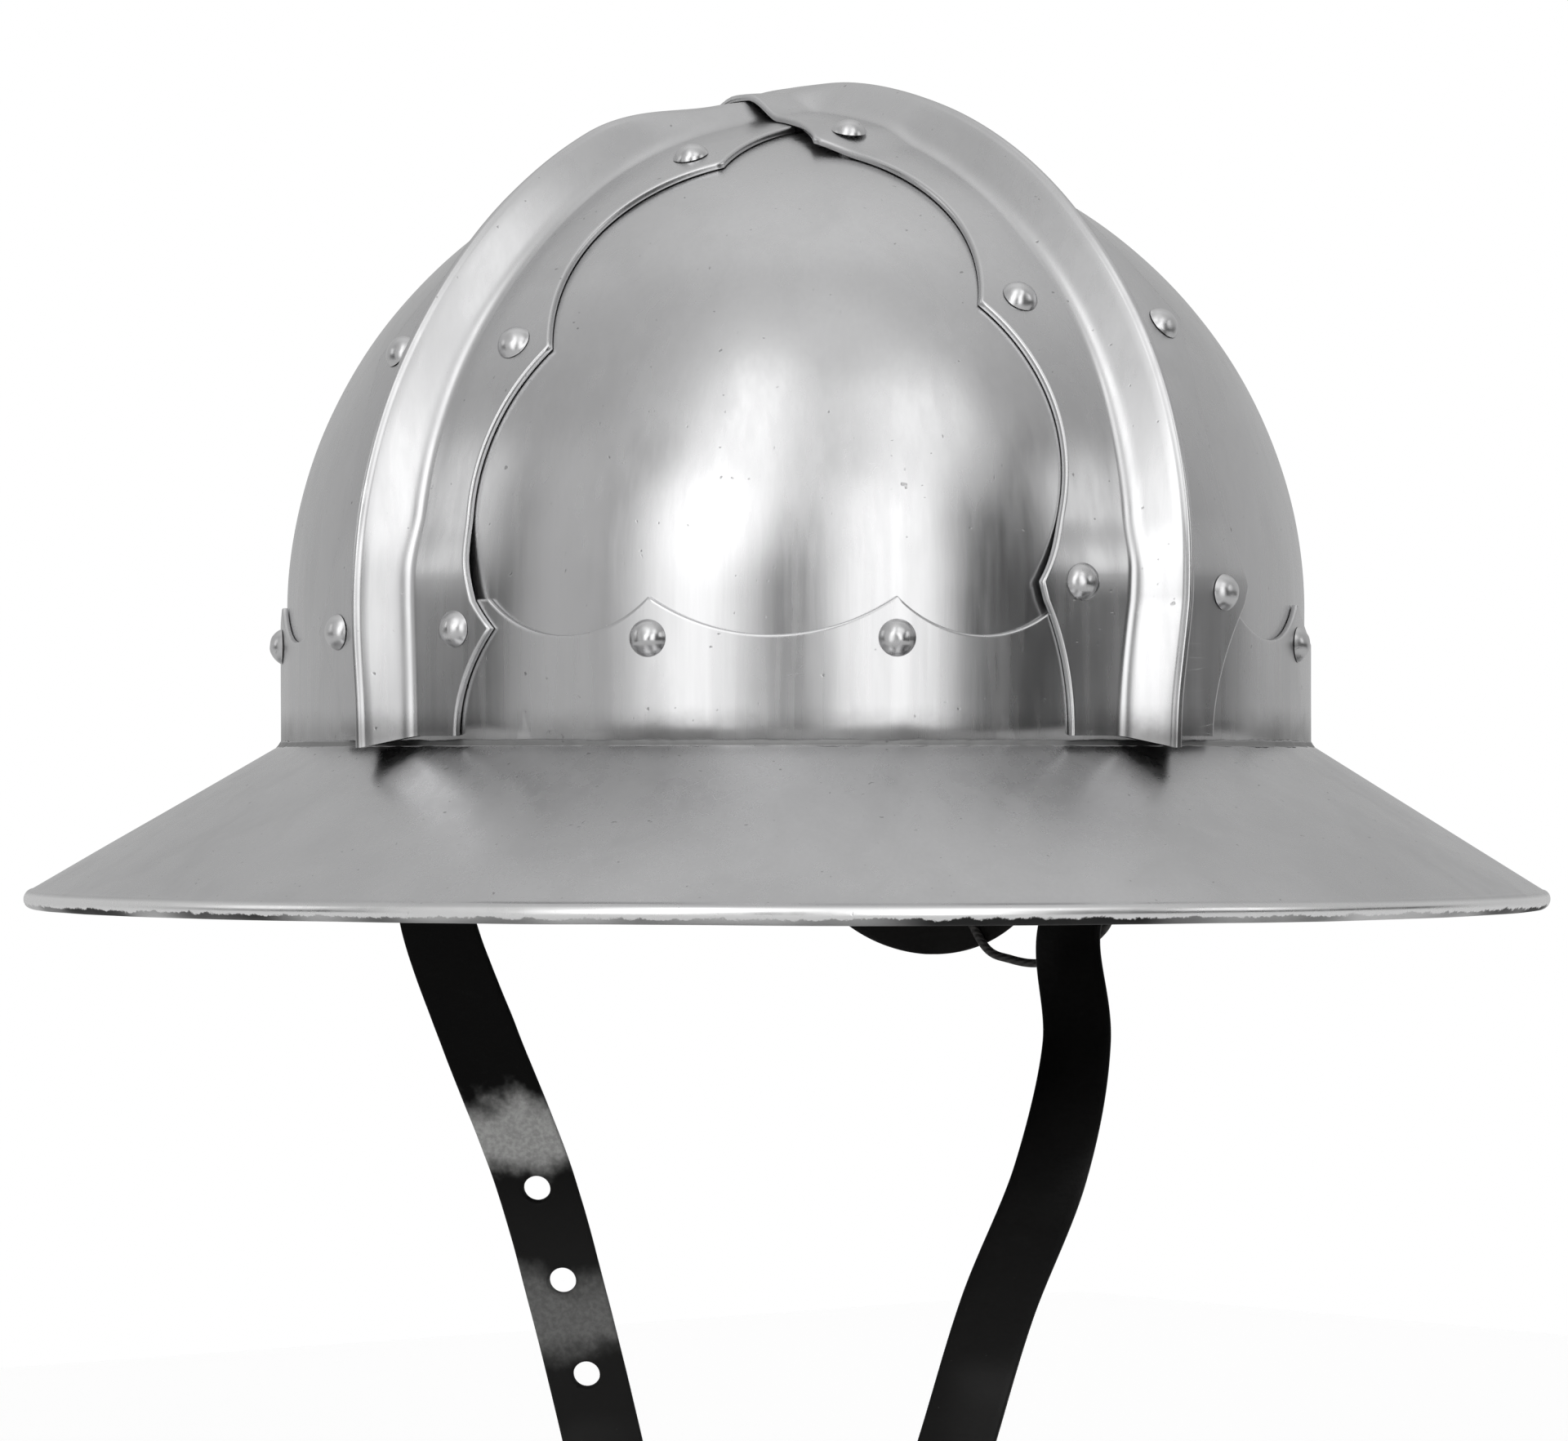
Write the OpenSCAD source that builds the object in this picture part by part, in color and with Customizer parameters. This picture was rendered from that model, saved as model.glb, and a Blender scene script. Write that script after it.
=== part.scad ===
// Kettle hat: riveted four-panel skull, scalloped cross bands, brow band,
// conical brim, leather liner and a two-piece chin strap with a buckle.
// Millimetres. Front of the hat faces -Y, the wearer's left is +X, up is +Z.
// Origin: centre of the head opening, in the plane where the brim meets the skull.

/* [Skull] */
// half of the skull's breadth, outside of the panels
skull_a = 115.5; // [100:0.5:130]
// half of the skull's length, outside of the panels
skull_b = 121; // [105:0.5:140]
// height of the domed part above the upright wall
skull_c = 112; // [95:0.5:130]
// height of the upright wall above the brim
wall_h = 31; // [24:0.5:40]
// thickness of every steel sheet
sheet_t = 1.5; // [1:0.1:2]
// width of the butt gap between neighbouring panels
panel_gap = 1; // [0.5:0.1:3]

/* [Bands] */
// height of the brow band at its points
brow_h = 31.6; // [27:0.1:36]
// depth of the brow band's scallops
brow_scallop = 8.3; // [4:0.1:12]
// turn from the front to the first brow rivet, in degrees
brow_first = 31; // [26:0.5:36]
// turn from the front to the second brow rivet, in degrees
brow_second = 57; // [52:0.5:62]
// half width of a cross band at its points
band_point = 30.8; // [24:0.5:36]
// half width of a cross band in the middle of its lower scallop
band_waist = 22.4; // [19:0.1:26]
// half width of a cross band in the middle of its upper scallop
band_waist_up = 21.6; // [19:0.1:26]
// half width of a cross band at the crown
band_crown = 19.5; // [18:0.1:26]
// half width of a cross band at its lower end
band_end = 20.6; // [18:0.1:25]
// half width of the keeled rib along the middle of a band
rib_w = 9.8; // [8:0.1:13]
// half width of the narrow strip along the rib's ridge
rib_flat = 1.1; // [0.8:0.1:2]
// height of the rib over the band's flanges, on the wall and the low dome
rib_h = 10; // [6:0.1:13]
// height of the rib over the upper dome
rib_up = 9.5; // [6:0.1:12]
// height of the rib at the band's lower end
rib_end = 9.2; // [4:0.1:12]
// height of the side band's rib where the front band crosses it
rib_cross = 4.8; // [2:0.1:6]
// shift of the front band toward the wearer's left, over the dome
front_shift = 3.1; // [-4:0.1:4]
// the same at the front band's lower ends
front_foot = -4; // [-6:0.1:4]
// shift of the side band toward the back, over the dome
side_shift = -0.5; // [-4:0.1:4]
// the same where the front band crosses the side band
cross_shift = -1.5; // [-3:0.1:3]
// the same at the side band's lower ends
side_foot = -2.5; // [-6:0.1:4]
// gap between a pressed band and the sheet under it
seat_gap = 0.25; // [0.15:0.05:0.5]

/* [Brim] */
// half length of the brim, from front to back
brim_b = 181.5; // [160:0.5:200]
// drop of the brim from the skull to its edge
brim_drop = 35.5; // [20:0.5:50]
// how far the brim is set toward the back at its edge
brim_back = 4; // [0:0.5:8]
// thickness of the rolled edge
edge_d = 4.6; // [3:0.1:6]

/* [Rivets] */
// diameter of a rivet's round head
head_d = 8.2; // [6:0.1:10]
// height of a rivet's round head
head_h = 2.7; // [1.5:0.1:4]
// diameter of a rivet's shank
shank_d = 3.6; // [2.5:0.1:4.5]
// room between a shank and its hole, all round
shank_gap = 0.2; // [0.1:0.05:0.4]

/* [Straps] */
// width of both chin straps
strap_w = 18; // [14:0.5:24]
// thickness of both chin straps
strap_t = 2.2; // [1.5:0.1:3]
// diameter of the holes for the buckle's prong
hole_d = 6; // [4:0.1:7]
// distance between neighbouring holes
hole_step = 23; // [16:0.5:30]
// number of holes
hole_count = 6; // [3:1:7]
// height of the strap rivets above the brim's joint
strap_pin_z = 13; // [11:0.5:16]

/* [Liner] */
// thickness of the liner's leather
liner_t = 1.8; // [1.2:0.1:2.5]
// height of the liner's band
liner_h = 30; // [22:1:36]
// number of tongues drawn together over the head
tongue_count = 8; // [6:1:10]
// thickness of the lace
lace_d = 2.2; // [1.5:0.1:3]

/* [Buckle] */
// thickness of the buckle's wire frame
wire_d = 3.4; // [2.5:0.1:4]
// inside length of the buckle, from bar to bar
buckle_l = 17; // [14:0.5:22]

/* [Hidden] */
$fn = 48;
kx = skull_a / skull_b;
kz = skull_c / skull_b;
brow_in = 0.1;                              // brow band stands this far off the panels
brow_out = brow_in + sheet_t;
over_brow = brow_out + seat_gap;            // inside of a cross band over the brow band
flange_up = seat_gap + sheet_t;             // outside of a cross band's flange on the dome
over_flange = flange_up + seat_gap;         // inside of the front band over the side band
liner_out = -sheet_t - 0.35;                // outside of the liner band
liner_in = liner_out - liner_t;
strap_room = 1.2;                           // room between the liner band and a strap
strap_face = liner_in - strap_room;         // outer face of a strap at its rivet
strap_mid = strap_face - strap_t / 2;
strap_y = -1.5;                             // straps hang this far off the skull's middle
band_foot = 1.7;                            // lower end of the cross bands
steel = [0.72, 0.72, 0.73];
hide = [0.06, 0.055, 0.05];

function mix(a, b, k) = a + (b - a) * k;
function ease(k) = let (q = max(0, min(1, k))) q * q * (3 - 2 * q);

// Points on the skull.
// way is 0 for the front band and 1 for the side band. t is the distance across
// the band. v runs along the band: below 0 it is millimetres down the wall,
// from 0 to 180 it is degrees over the dome, above 180 it is down the far wall.
function skull_z(v, c, k) =
    v < 0 ? wall_h + v : v > 180 ? wall_h - (v - 180) : wall_h + c * k * sin(v);
function skull_y(v, b, k) =
    v < 0 ? -b * k : v > 180 ? b * k : -b * k * cos(v);
function skull_pt(way, t, v, o) =
    let (a = skull_a + o, b = skull_b + o, c = skull_c + o,
         k = sqrt(1 - pow(t / (way == 0 ? a : b), 2)))
    way == 0 ? [t, skull_y(v, b, k), skull_z(v, c, k)]
             : [skull_y(v, a, k), t, skull_z(v, c, k)];
function skull_normal(p) =
    let (n = [p.x / pow(skull_a, 2), p.y / pow(skull_b, 2),
              max(0, p.z - wall_h) / pow(skull_c, 2)]) n / norm(n);

// sets children upright on the skull at a place of a band
module on_skull(way, t, v, o) {
    p = skull_pt(way, t, v, 0);
    n = skull_normal(p);
    translate(p + n * o) rotate([0, acos(n.z), atan2(n.y, n.x)]) children();
}

// Cross bands.
// places of the points along half a band, as v
front_points = [2, 36.6, 70.8];
side_points = [-6, 30.8, 65];
function points_of(way) = way == 0 ? front_points : side_points;

// half of a band folded onto v from the wall's foot to the crown
function folded(v) = v > 90 ? 180 - v : v;
// how far a band's middle lies off the skull's own middle: its ends lean to one side
function shift_at(way, v) =
    let (f = folded(v), up = f + wall_h)
    way == 0 ? mix(front_foot, front_shift, ease(up / 70))
             : mix(mix(side_foot, side_shift, ease(up / 60)), cross_shift, ease((f - 60) / 24));
function band_half(way, v) =
    let (f = folded(v), p = points_of(way), foot = band_foot - wall_h)
    f < p[0] ? mix(band_end, band_point, pow((f - foot) / (p[0] - foot), 2)) :
    f < p[1] ? mix(band_waist, band_point, pow((2 * f - p[0] - p[1]) / (p[1] - p[0]), 2)) :
    f < p[2] ? mix(band_waist_up, band_point, pow((2 * f - p[1] - p[2]) / (p[2] - p[1]), 2)) :
    mix(band_crown, band_point, pow((90 - f) / (90 - p[2]), 2));

// inside of the band's flange, measured off the panels: it steps down past the brow band
lap_room = 5.3;
lap_turn = asin((brow_h + lap_room - wall_h) / skull_c);
function seat(way, v) =
    let (f = folded(v), low = mix(over_brow, seat_gap, ease((f - lap_turn) / 7)))
    way == 1 || f < 45 ? low : max(low, seat_gap + climb(skull_b * cos(f)));
// how far the front band climbs over the side band, h from the crown's middle
function climb(h) = (over_flange - seat_gap) * ease((50 - h) / 13) + rib_cross * ease((15 - h) / 13);
// height of the rib over the flange; the front band's rib gives back what its flange climbs
function rib(way, v) =
    let (f = folded(v), wall = mix(rib_end, rib_h, ease((f + wall_h) / 26)),
         dome = mix(wall, rib_up, ease((f - 15) / 30)))
    f < 45 ? dome
    : way == 0 ? dome - 1.1 * climb(skull_b * cos(f))
    : mix(dome, rib_cross, ease((56 - skull_a * cos(f)) / 32));
// section of the rib: a narrow crowned ridge, straight flanks, a hollow at the foot
flank = 0.6;                                // share of a flank that is straight
function keel(t) =
    let (q = max(0, min(1, (abs(t) - rib_flat) / (rib_w - rib_flat))),
         crown = 1 - 0.03 * pow(min(1, abs(t) / rib_flat), 2))
    crown * (q < flank ? 1 - 2 * q / (1 + flank) : pow(1 - q, 2) / (1 - flank * flank));

half_steps = [for (q = [1, 0.87, 0.73, 0.6, 0.3, 0]) mix(rib_flat, rib_w, q)];
rib_ts = concat([for (t = half_steps) -t], [0], [for (k = [5:-1:0]) half_steps[k]]);
function across(way, v) =
    let (w = band_half(way, v))
    concat([for (k = [0:2]) mix(-w, -rib_w, k / 3)], rib_ts,
           [for (k = [1:3]) mix(rib_w, w, k / 3)]);

function spread(a, b, n) = [for (k = [0:n - 1]) mix(a, b, k / n)];
function half_run(way) =
    let (p = points_of(way), foot = band_foot - wall_h)
    p[0] < 0
    ? concat(spread(foot, p[0], 4), spread(p[0], 0, 2), spread(0, p[1], 7),
             spread(p[1], p[2], 9), spread(p[2], 90, 11))
    : concat(spread(foot, -7, 4), spread(-7, 0, 2), spread(0, p[0], 1),
             spread(p[0], p[1], 9), spread(p[1], p[2], 9), spread(p[2], 90, 11));
function full_run(way) =
    let (h = half_run(way), n = len(h)) concat(h, [90], [for (k = [n - 1:-1:0]) 180 - h[k]]);

// a tube of sections, each the same number of points, closed at both ends
module sections(rows) {
    n = len(rows);
    m = len(rows[0]);
    polyhedron(
        points = [for (r = rows) for (p = r) p],
        faces = concat(
            [for (i = [0:n - 2]) for (j = [0:m - 1])
                let (a = i * m + j, b = i * m + (j + 1) % m) [a, a + m, b]],
            [for (i = [0:n - 2]) for (j = [0:m - 1])
                let (a = i * m + j, b = i * m + (j + 1) % m) [b, a + m, b + m]],
            [for (j = [0:m / 2 - 2]) [j, j + 1, m - 1 - j]],
            [for (j = [0:m / 2 - 2]) [j + 1, m - 2 - j, m - 1 - j]],
            [for (j = [0:m / 2 - 2]) let (z = (n - 1) * m) [z + j, z + m - 1 - j, z + j + 1]],
            [for (j = [0:m / 2 - 2])
                let (z = (n - 1) * m) [z + j + 1, z + m - 1 - j, z + m - 2 - j]]));
}

module band_sheet(way) {
    rows = [for (v = full_run(way))
        let (ts = across(way, v), s = seat(way, v), r = rib(way, v), m = len(ts),
             shift = shift_at(way, v))
        concat(
            [for (t = ts) skull_pt(way, t + shift, v, s + r * keel(t))],
            [for (k = [m - 1:-1:0])
                skull_pt(way, ts[k] + shift, v, s + sheet_t + r * keel(ts[k]))])];
    if (way == 0) sections(rows);
    else sections([for (k = [len(rows) - 1:-1:0]) rows[k]]);
}

rivet_off = 20.5;                           // rivets this far from a band's middle
// the front band's rivets toward the wearer's left sit a little lower, as marked by hand
left_low = [0.8, 2.2, 0];
function rivet_v(way, far, side, k) =
    let (v = points_of(way)[k] - (way == 0 && side > 0 ? left_low[k] : 0)) far == 0 ? v : 180 - v;
module band_rivet_places(way) {
    for (far = [0, 1], side = [-1, 1], k = [0:2]) {
        v = rivet_v(way, far, side, k);
        on_skull(way, shift_at(way, v) + side * rivet_off, v, 0) children();
    }
}

hole_reach = 16;                            // a rivet's hole cuts this far each way
module rivet_hole() {
    translate([0, 0, -hole_reach]) cylinder(d = shank_d + 2 * shank_gap, h = 2 * hole_reach);
}

module front_back_band() color(steel) difference() {
    band_sheet(0);
    band_rivet_places(0) rivet_hole();
}

module side_band() color(steel) difference() {
    band_sheet(1);
    band_rivet_places(1) rivet_hole();
}

// room in the liner for the tails of rivets that only hold a band to a panel
module tail_room() {
    translate([0, 0, -hole_reach]) cylinder(d = tail_d + 4 * shank_gap, h = hole_reach);
}

rivet_room = 0.12;                          // room under a rivet's head and over its tail
tail_h = 1.3;                               // height of a rivet's tail
tail_d = 6.2;                               // width of the tail where it seats
tail_tip = 4.6;                             // width of the tail at its end
shank_bite = 0.5;                           // how far the shank runs into head and tail
// a rivet from its head's seat at the top down to its peened tail
module rivet(top, bottom) {
    cap_r = (pow(head_d / 2, 2) + pow(head_h, 2)) / (2 * head_h);
    seat_at = top + rivet_room;
    tail = bottom - rivet_room;
    intersection() {
        translate([0, 0, seat_at + head_h - cap_r]) sphere(r = cap_r);
        translate([0, 0, seat_at]) cylinder(d = 1.2 * head_d, h = 1.2 * head_h);
    }
    translate([0, 0, tail - shank_bite])
        cylinder(d = shank_d, h = seat_at - tail + 2 * shank_bite);
    translate([0, 0, tail - tail_h]) cylinder(d1 = tail_tip, d2 = tail_d, h = tail_h);
}

module band_rivets(way) {
    for (far = [0, 1], side = [-1, 1], k = [0:2]) {
        v = rivet_v(way, far, side, k);
        through = v < 0 || v > 180 ? liner_in : -sheet_t;
        on_skull(way, shift_at(way, v) + side * rivet_off, v, 0)
            rivet(seat(way, v) + sheet_t + rivet_room / 2, through);
    }
}
module front_back_rivets() color(steel) band_rivets(0);
module side_rivets() color(steel) band_rivets(1);

// Brow band, panels, brim.
// one quarter of a ring, front left, from a profile drawn at its radius
module quarter() {
    rotate([0, 0, -90]) rotate_extrude(angle = 90, $fn = 180) children();
}
// four quarters, stretched to the oval of the skull
module oval_ring() {
    for (m = [0, 1], n = [0, 1])
        scale([kx, 1, 1]) mirror([m, 0, 0]) mirror([0, n, 0]) quarter() children();
}

brow_rivet_z = 22.6;
module brow_rivet_places() {
    for (m = [0, 1], n = [0, 1], turn = [brow_first, brow_second])
        mirror([m, 0, 0]) mirror([0, n, 0]) {
            p = [skull_a * sin(turn), -skull_b * cos(turn), brow_rivet_z];
            q = skull_normal(p);
            translate(p) rotate([0, 90, atan2(q.y, q.x)]) children();
        }
}
module brow_rivets() color(steel) brow_rivet_places() rivet(brow_out, liner_in);

function arc_radius(half, depth) = (half * half + depth * depth) / (2 * depth);
module scallop(turn, half) {
    r = arc_radius(half, brow_scallop);
    rotate([0, 0, -90 + turn]) translate([skull_b - 20, 0, brow_h - brow_scallop + r])
        rotate([0, 90, 0]) cylinder(r = r, h = 40, $fn = 96);
}
module brow_quarter() {
    end_half = 19.6;
    end_turn = asin(end_half / skull_b);
    difference() {
        quarter() translate([skull_b + brow_in, 0]) square([sheet_t, brow_h]);
        scallop((brow_first + brow_second) / 2, skull_b * sin((brow_second - brow_first) / 2));
        scallop(brow_first - end_turn, end_half);
        scallop(brow_second + end_turn, end_half);
    }
}
module brow_band() color(steel) difference() {
    union() for (m = [0, 1], n = [0, 1])
        scale([kx, 1, 1]) mirror([m, 0, 0]) mirror([0, n, 0]) brow_quarter();
    brow_rivet_places() rivet_hole();
    band_rivet_places(0) rivet_hole();
    band_rivet_places(1) rivet_hole();
    strap_pins_at() rivet_hole();
}

module panel_profile() {
    intersection() {
        difference() {
            circle(r = skull_b, $fn = 180);
            circle(r = skull_b - sheet_t, $fn = 180);
        }
        square([skull_b + 1, skull_b + 1]);
    }
    translate([skull_b - sheet_t, -wall_h / kz]) square([sheet_t, wall_h / kz]);
}
module panel(m, n) color(steel) difference() {
    translate([0, 0, wall_h]) scale([kx, 1, kz]) mirror([m, 0, 0]) mirror([0, n, 0])
        difference() {
            quarter() panel_profile();
            translate([-1, -200, -100]) cube([1 + panel_gap / 2 / kx, 400, 400]);
            translate([-1, -panel_gap / 2, -100]) cube([400, 1 + panel_gap / 2, 400]);
        }
    brow_rivet_places() rivet_hole();
    band_rivet_places(0) rivet_hole();
    band_rivet_places(1) rivet_hole();
    strap_pins_at() rivet_hole();
}
module panel_front_right() panel(1, 0);
module panel_front_left() panel(0, 0);
module panel_back_right() panel(1, 1);
module panel_back_left() panel(0, 1);

brim_in = skull_b + brow_out + 0.1;
// the edge is rolled under, so the upper side runs straight on to the roll
module brim_profile() {
    roll = [brim_b - edge_d / 2, -brim_drop];
    reach = 0.46 * edge_d;
    way = roll - [brim_in, 0];
    slant = atan2(-way[1], way[0]) - asin(reach / norm(way));
    up = [sin(slant), cos(slant)];
    polygon([[brim_in, 0], roll + reach * up, roll + (reach - sheet_t) * up,
             [brim_in, -sheet_t / cos(slant)]]);
    translate(roll) circle(d = edge_d, $fn = 12);
}
module brim() color(steel)
    for (m = [0, 1], n = [0, 1])
        multmatrix([[kx, 0, 0, 0], [0, 1, -brim_back / brim_drop, 0], [0, 0, 1, 0], [0, 0, 0, 1]])
            mirror([m, 0, 0]) mirror([0, n, 0]) quarter() brim_profile();

module weld_bead() color(steel) oval_ring()
    translate([skull_b + brow_out + 0.05, 0])
    polygon([[0, 0.02], [1.25, -0.55], [0.95, 0.25], [0.4, 0.95], [0, 1.25]]);

// Liner.
liner_z = 8;
module liner_band() color(hide) difference() {
    union() for (m = [0, 1], n = [0, 1])
        scale([(skull_a + liner_out) / (skull_b + liner_out), 1, 1])
            mirror([m, 0, 0]) mirror([0, n, 0])
            quarter() translate([skull_b + liner_in, liner_z]) square([liner_t, liner_h - 7]);
    brow_rivet_places() rivet_hole();
    band_rivet_places(1) rivet_hole();
    band_rivet_places(0) tail_room();
    strap_pins_at() rivet_hole();
}

// a leather tongue: wide at the band, narrow and laced near the crown
tongue_top = 113;
tongue_low = liner_z + liner_h - 8.6;
module tongue(turn) {
    steps = 9;
    half0 = 180 / tongue_count - 1.2;
    function rise(k) = mix(tongue_low, tongue_top, sin(90 * k));
    function reach(k) = mix(0.26, 1, pow(cos(90 * k), 0.8));
    function half_deg(k) = k < 0.999 ? mix(half0, 17, ease(k)) : 13;
    rows = [for (i = [0:steps])
        let (k = i / steps, h = half_deg(k), q = reach(k), z = rise(k))
        concat(
            [for (j = [-3:3]) let (g = turn + h * j / 3, e = liner_in - 0.3)
                [(skull_a + e) * q * cos(g), (skull_b + e) * q * sin(g), z]],
            [for (j = [3:-1:-3]) let (g = turn + h * j / 3, e = liner_in - 0.3 - liner_t)
                [(skull_a + e) * q * cos(g) - 0.9 * k * cos(g),
                 (skull_b + e) * q * sin(g) - 0.9 * k * sin(g), z - liner_t * k]])];
    sections([for (i = [len(rows) - 1:-1:0]) rows[i]]);
}
module liner_tongues() color(hide)
    for (i = [0:tongue_count - 1]) tongue(180 / tongue_count + i * 360 / tongue_count);

// a round cord along a list of points, as a tube with flat ends
function unit(v) = v / norm(v);
module cord(pts, d, sides = 8) {
    n = len(pts);
    dirs = [for (i = [0:n - 1]) unit(pts[min(n - 1, i + 1)] - pts[max(0, i - 1)])];
    rows = [for (i = [0:n - 1])
        let (t = dirs[i], s = unit(cross(t, [0.31, 0.87, 0.38])), u = cross(t, s))
        [for (j = [0:sides - 1]) let (g = 360 * j / sides)
            pts[i] + d / 2 * (s * cos(g) + u * sin(g))]];
    sections(rows);
}
// smooth run through chosen points
function curve_at(p, i, q) =
    let (n = len(p), a = p[max(0, i - 1)], b = p[i], c = p[min(n - 1, i + 1)],
         d = p[min(n - 1, i + 2)])
    b + 0.5 * q * (c - a) + q * q * (a - 2.5 * b + 2 * c - 0.5 * d)
      + q * q * q * (1.5 * b - 0.5 * a - 1.5 * c + 0.5 * d);
function curve(p, n) =
    concat([for (i = [0:len(p) - 2]) for (k = [0:n - 1]) curve_at(p, i, k / n)],
           [p[len(p) - 1]]);

crown_lace_r = 29;
module crown_lace() color(hide) translate([0, 0, tongue_top + lace_d / 2 + 0.3])
    oval_ring() translate([crown_lace_r, 0]) circle(d = lace_d, $fn = 10);

// the loop of lace that hangs behind the left strap
lace_out = skull_a + liner_in - lace_d / 2 - 0.5;
loop_points = [[lace_out - 1.0, 16.5, liner_z + 4], [lace_out - 0.6, 17, -8], [lace_out + 0.4, 14.5, -25],
               [lace_out + 1, 10.5, -39], [lace_out - 0.5, 15, -47], [lace_out - 4.5, 28, -53],
               [lace_out - 8.5, 37, -52.5], [lace_out - 12, 43.5, -48.5], [lace_out - 15.5, 49.5, -32],
               [lace_out - 16, 52, -8], [lace_out - 15, 52, liner_z + 4]];
module lace_loop() color(hide) cord(curve(loop_points, 4), lace_d);

// the leather tab that hangs from the liner at the left rear
tab_turn = 30;
tab_w = 46;
tab_t = 1.7;
tab_drop = 51.6;                            // the tab's end lies this far below the origin
tab_round = 36;                             // radius of the tab's rounded end
tab_root = 10;                              // the tab's root above the liner's lower edge
tab_lean = 2;                               // how far the tab hangs inward at its end
tab_bow = 0.006;                            // bend across the tab, as the liner bends
module liner_tab() color(hide) {
    x0 = (skull_a + liner_in - 0.4) * cos(tab_turn);
    y0 = (skull_b + liner_in - 0.4) * sin(tab_turn);
    rise = tab_round - sqrt(pow(tab_round, 2) - pow(tab_w / 2, 2));
    top = liner_z + tab_root;
    straight = [for (i = [0:5]) [mix(top, rise - tab_drop, i / 5), tab_w / 2]];
    round = [for (q = [0.8, 0.6, 0.42, 0.27, 0.14, 0.05])
        [rise * q - tab_drop, sqrt(pow(tab_round, 2) - pow(tab_round - rise * q, 2))]];
    rows = [for (s = concat(straight, round))
        let (z = s[0], w = s[1], lean = -tab_lean * pow((top - z) / (top + tab_drop), 2))
        concat(
            [for (j = [-3:3]) [lean - tab_bow * pow(w * j / 3, 2), w * j / 3, z]],
            [for (j = [3:-1:-3]) [lean - tab_t - tab_bow * pow(w * j / 3, 2), w * j / 3, z]])];
    translate([x0, y0, 0]) rotate([0, 0, atan2(y0 / pow(skull_b, 2), x0 / pow(skull_a, 2))])
        sections(rows);
}

// Straps.
strap_x = skull_a + strap_mid;
module strap_pins_at() {
    for (side = [-1, 1]) translate([side * skull_a, strap_y, strap_pin_z])
        rotate([0, side * 90, 0]) children();
}
module strap_pin(side) color(steel)
    translate([side * skull_a, strap_y, strap_pin_z]) rotate([0, side * 90, 0])
    rivet(brow_out, strap_face - strap_t - 1.5);
module strap_pin_right() strap_pin(-1);
module strap_pin_left() strap_pin(1);
module strap_washer(side) color(steel)
    translate([side * (skull_a + strap_face - strap_t - 0.4), strap_y, strap_pin_z])
    rotate([0, side * -90, 0]) difference() {
        cylinder(d = 11, h = 1);
        translate([0, 0, -1]) cylinder(d = shank_d + 2 * shank_gap, h = 3);
    }
module strap_washer_right() strap_washer(-1);
module strap_washer_left() strap_washer(1);

// each stop is x, y, z and the strap's turn about its own length, in degrees
right_stops = [
    [-strap_x, strap_y, strap_pin_z + 10, 0], [-strap_x, strap_y, strap_pin_z, 0],
    [-strap_x, strap_y, 1, 0], [-strap_x + 2.5, -1, -20, 12], [-strap_x + 5.8, 0, -40, 30],
    [-92, 0, -66, 40], [-77, 0, -97, 44], [-66.5, 0, -127, 45], [-57, 0, -158, 46],
    [-48, 0, -190, 46], [-39, 0, -222, 46], [-30, 0, -254, 46]];
left_stops = [
    [strap_x, strap_y, strap_pin_z + 10, 0], [strap_x, strap_y, strap_pin_z, 0],
    [strap_x, strap_y, 1, 0], [strap_x - 7, 4, -22, 8], [strap_x - 15.5, 7.5, -45, 14],
    [91.5, 2, -72, 22], [81, 0, -103, 42], [64, 0, -134, 48], [51, 0, -165, 48],
    [38, 0, -196, 48], [25, 0, -227, 48]];

function stop_pos(s) = [s[0], s[1], s[2]];
function strap_dir(run, i) =
    unit(stop_pos(run[min(len(run) - 1, i + 1)]) - stop_pos(run[max(0, i - 1)]));
function strap_across(s, dir) =
    let (w = [sin(s[3]), -cos(s[3]), 0]) unit(w - dir * (w * dir));
module strap_strip(stops, tip) {
    run = curve(stops, 4);
    c = 0.35;
    last = len(run) - 1;
    slim = [for (i = [0:last]) i == 0 ? 0.45 : i == 1 ? 0.85 : i == last ? tip
        : i == last - 1 ? (tip < 1 ? 0.9 : 1) : 1];
    rows = [for (i = [0:len(run) - 1])
        let (d = strap_dir(run, i), w = strap_across(run[i], d), n = cross(d, w),
             a = strap_w / 2 * slim[i], b = strap_t / 2, p = stop_pos(run[i]))
        [p - w * a - n * (b - c), p - w * (a - c) - n * b, p + w * (a - c) - n * b,
         p + w * a - n * (b - c), p + w * a + n * (b - c), p + w * (a - c) + n * b,
         p - w * (a - c) + n * b, p - w * a + n * (b - c)]];
    sections(rows);
}
// puts children on a strap: z along it, x across it, y off its face
module on_strap(stops, i, q) {
    s = curve_at(stops, i, q);
    ahead = stop_pos(curve_at(stops, i, min(1, q + 0.02)));
    behind = stop_pos(curve_at(stops, i, max(0, q - 0.02)));
    d = unit(ahead - behind);
    w = strap_across(s, d);
    n = cross(d, w);
    multmatrix([[w.x, n.x, d.x, s[0]], [w.y, n.y, d.y, s[1]], [w.z, n.z, d.z, s[2]], [0, 0, 0, 1]])
        children();
}

pivot_gap = 0.05;                           // room between a pivot and its bore, all round
module pin_bore(side) {
    translate([side * strap_x, strap_y, strap_pin_z]) rotate([0, 90, 0])
        translate([0, 0, -8]) cylinder(d = shank_d + 2 * pivot_gap, h = 16);
}
module strap_right() color(hide) difference() {
    strap_strip(right_stops, 0.35);
    pin_bore(-1);
    for (k = [0:hole_count - 1]) {
        way = (3 + k * hole_step) / 32.6;
        on_strap(right_stops, 6 + floor(way), way - floor(way)) rotate([90, 0, 0])
            translate([0, 0, -6]) cylinder(d = hole_d, h = 12);
    }
}

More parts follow.
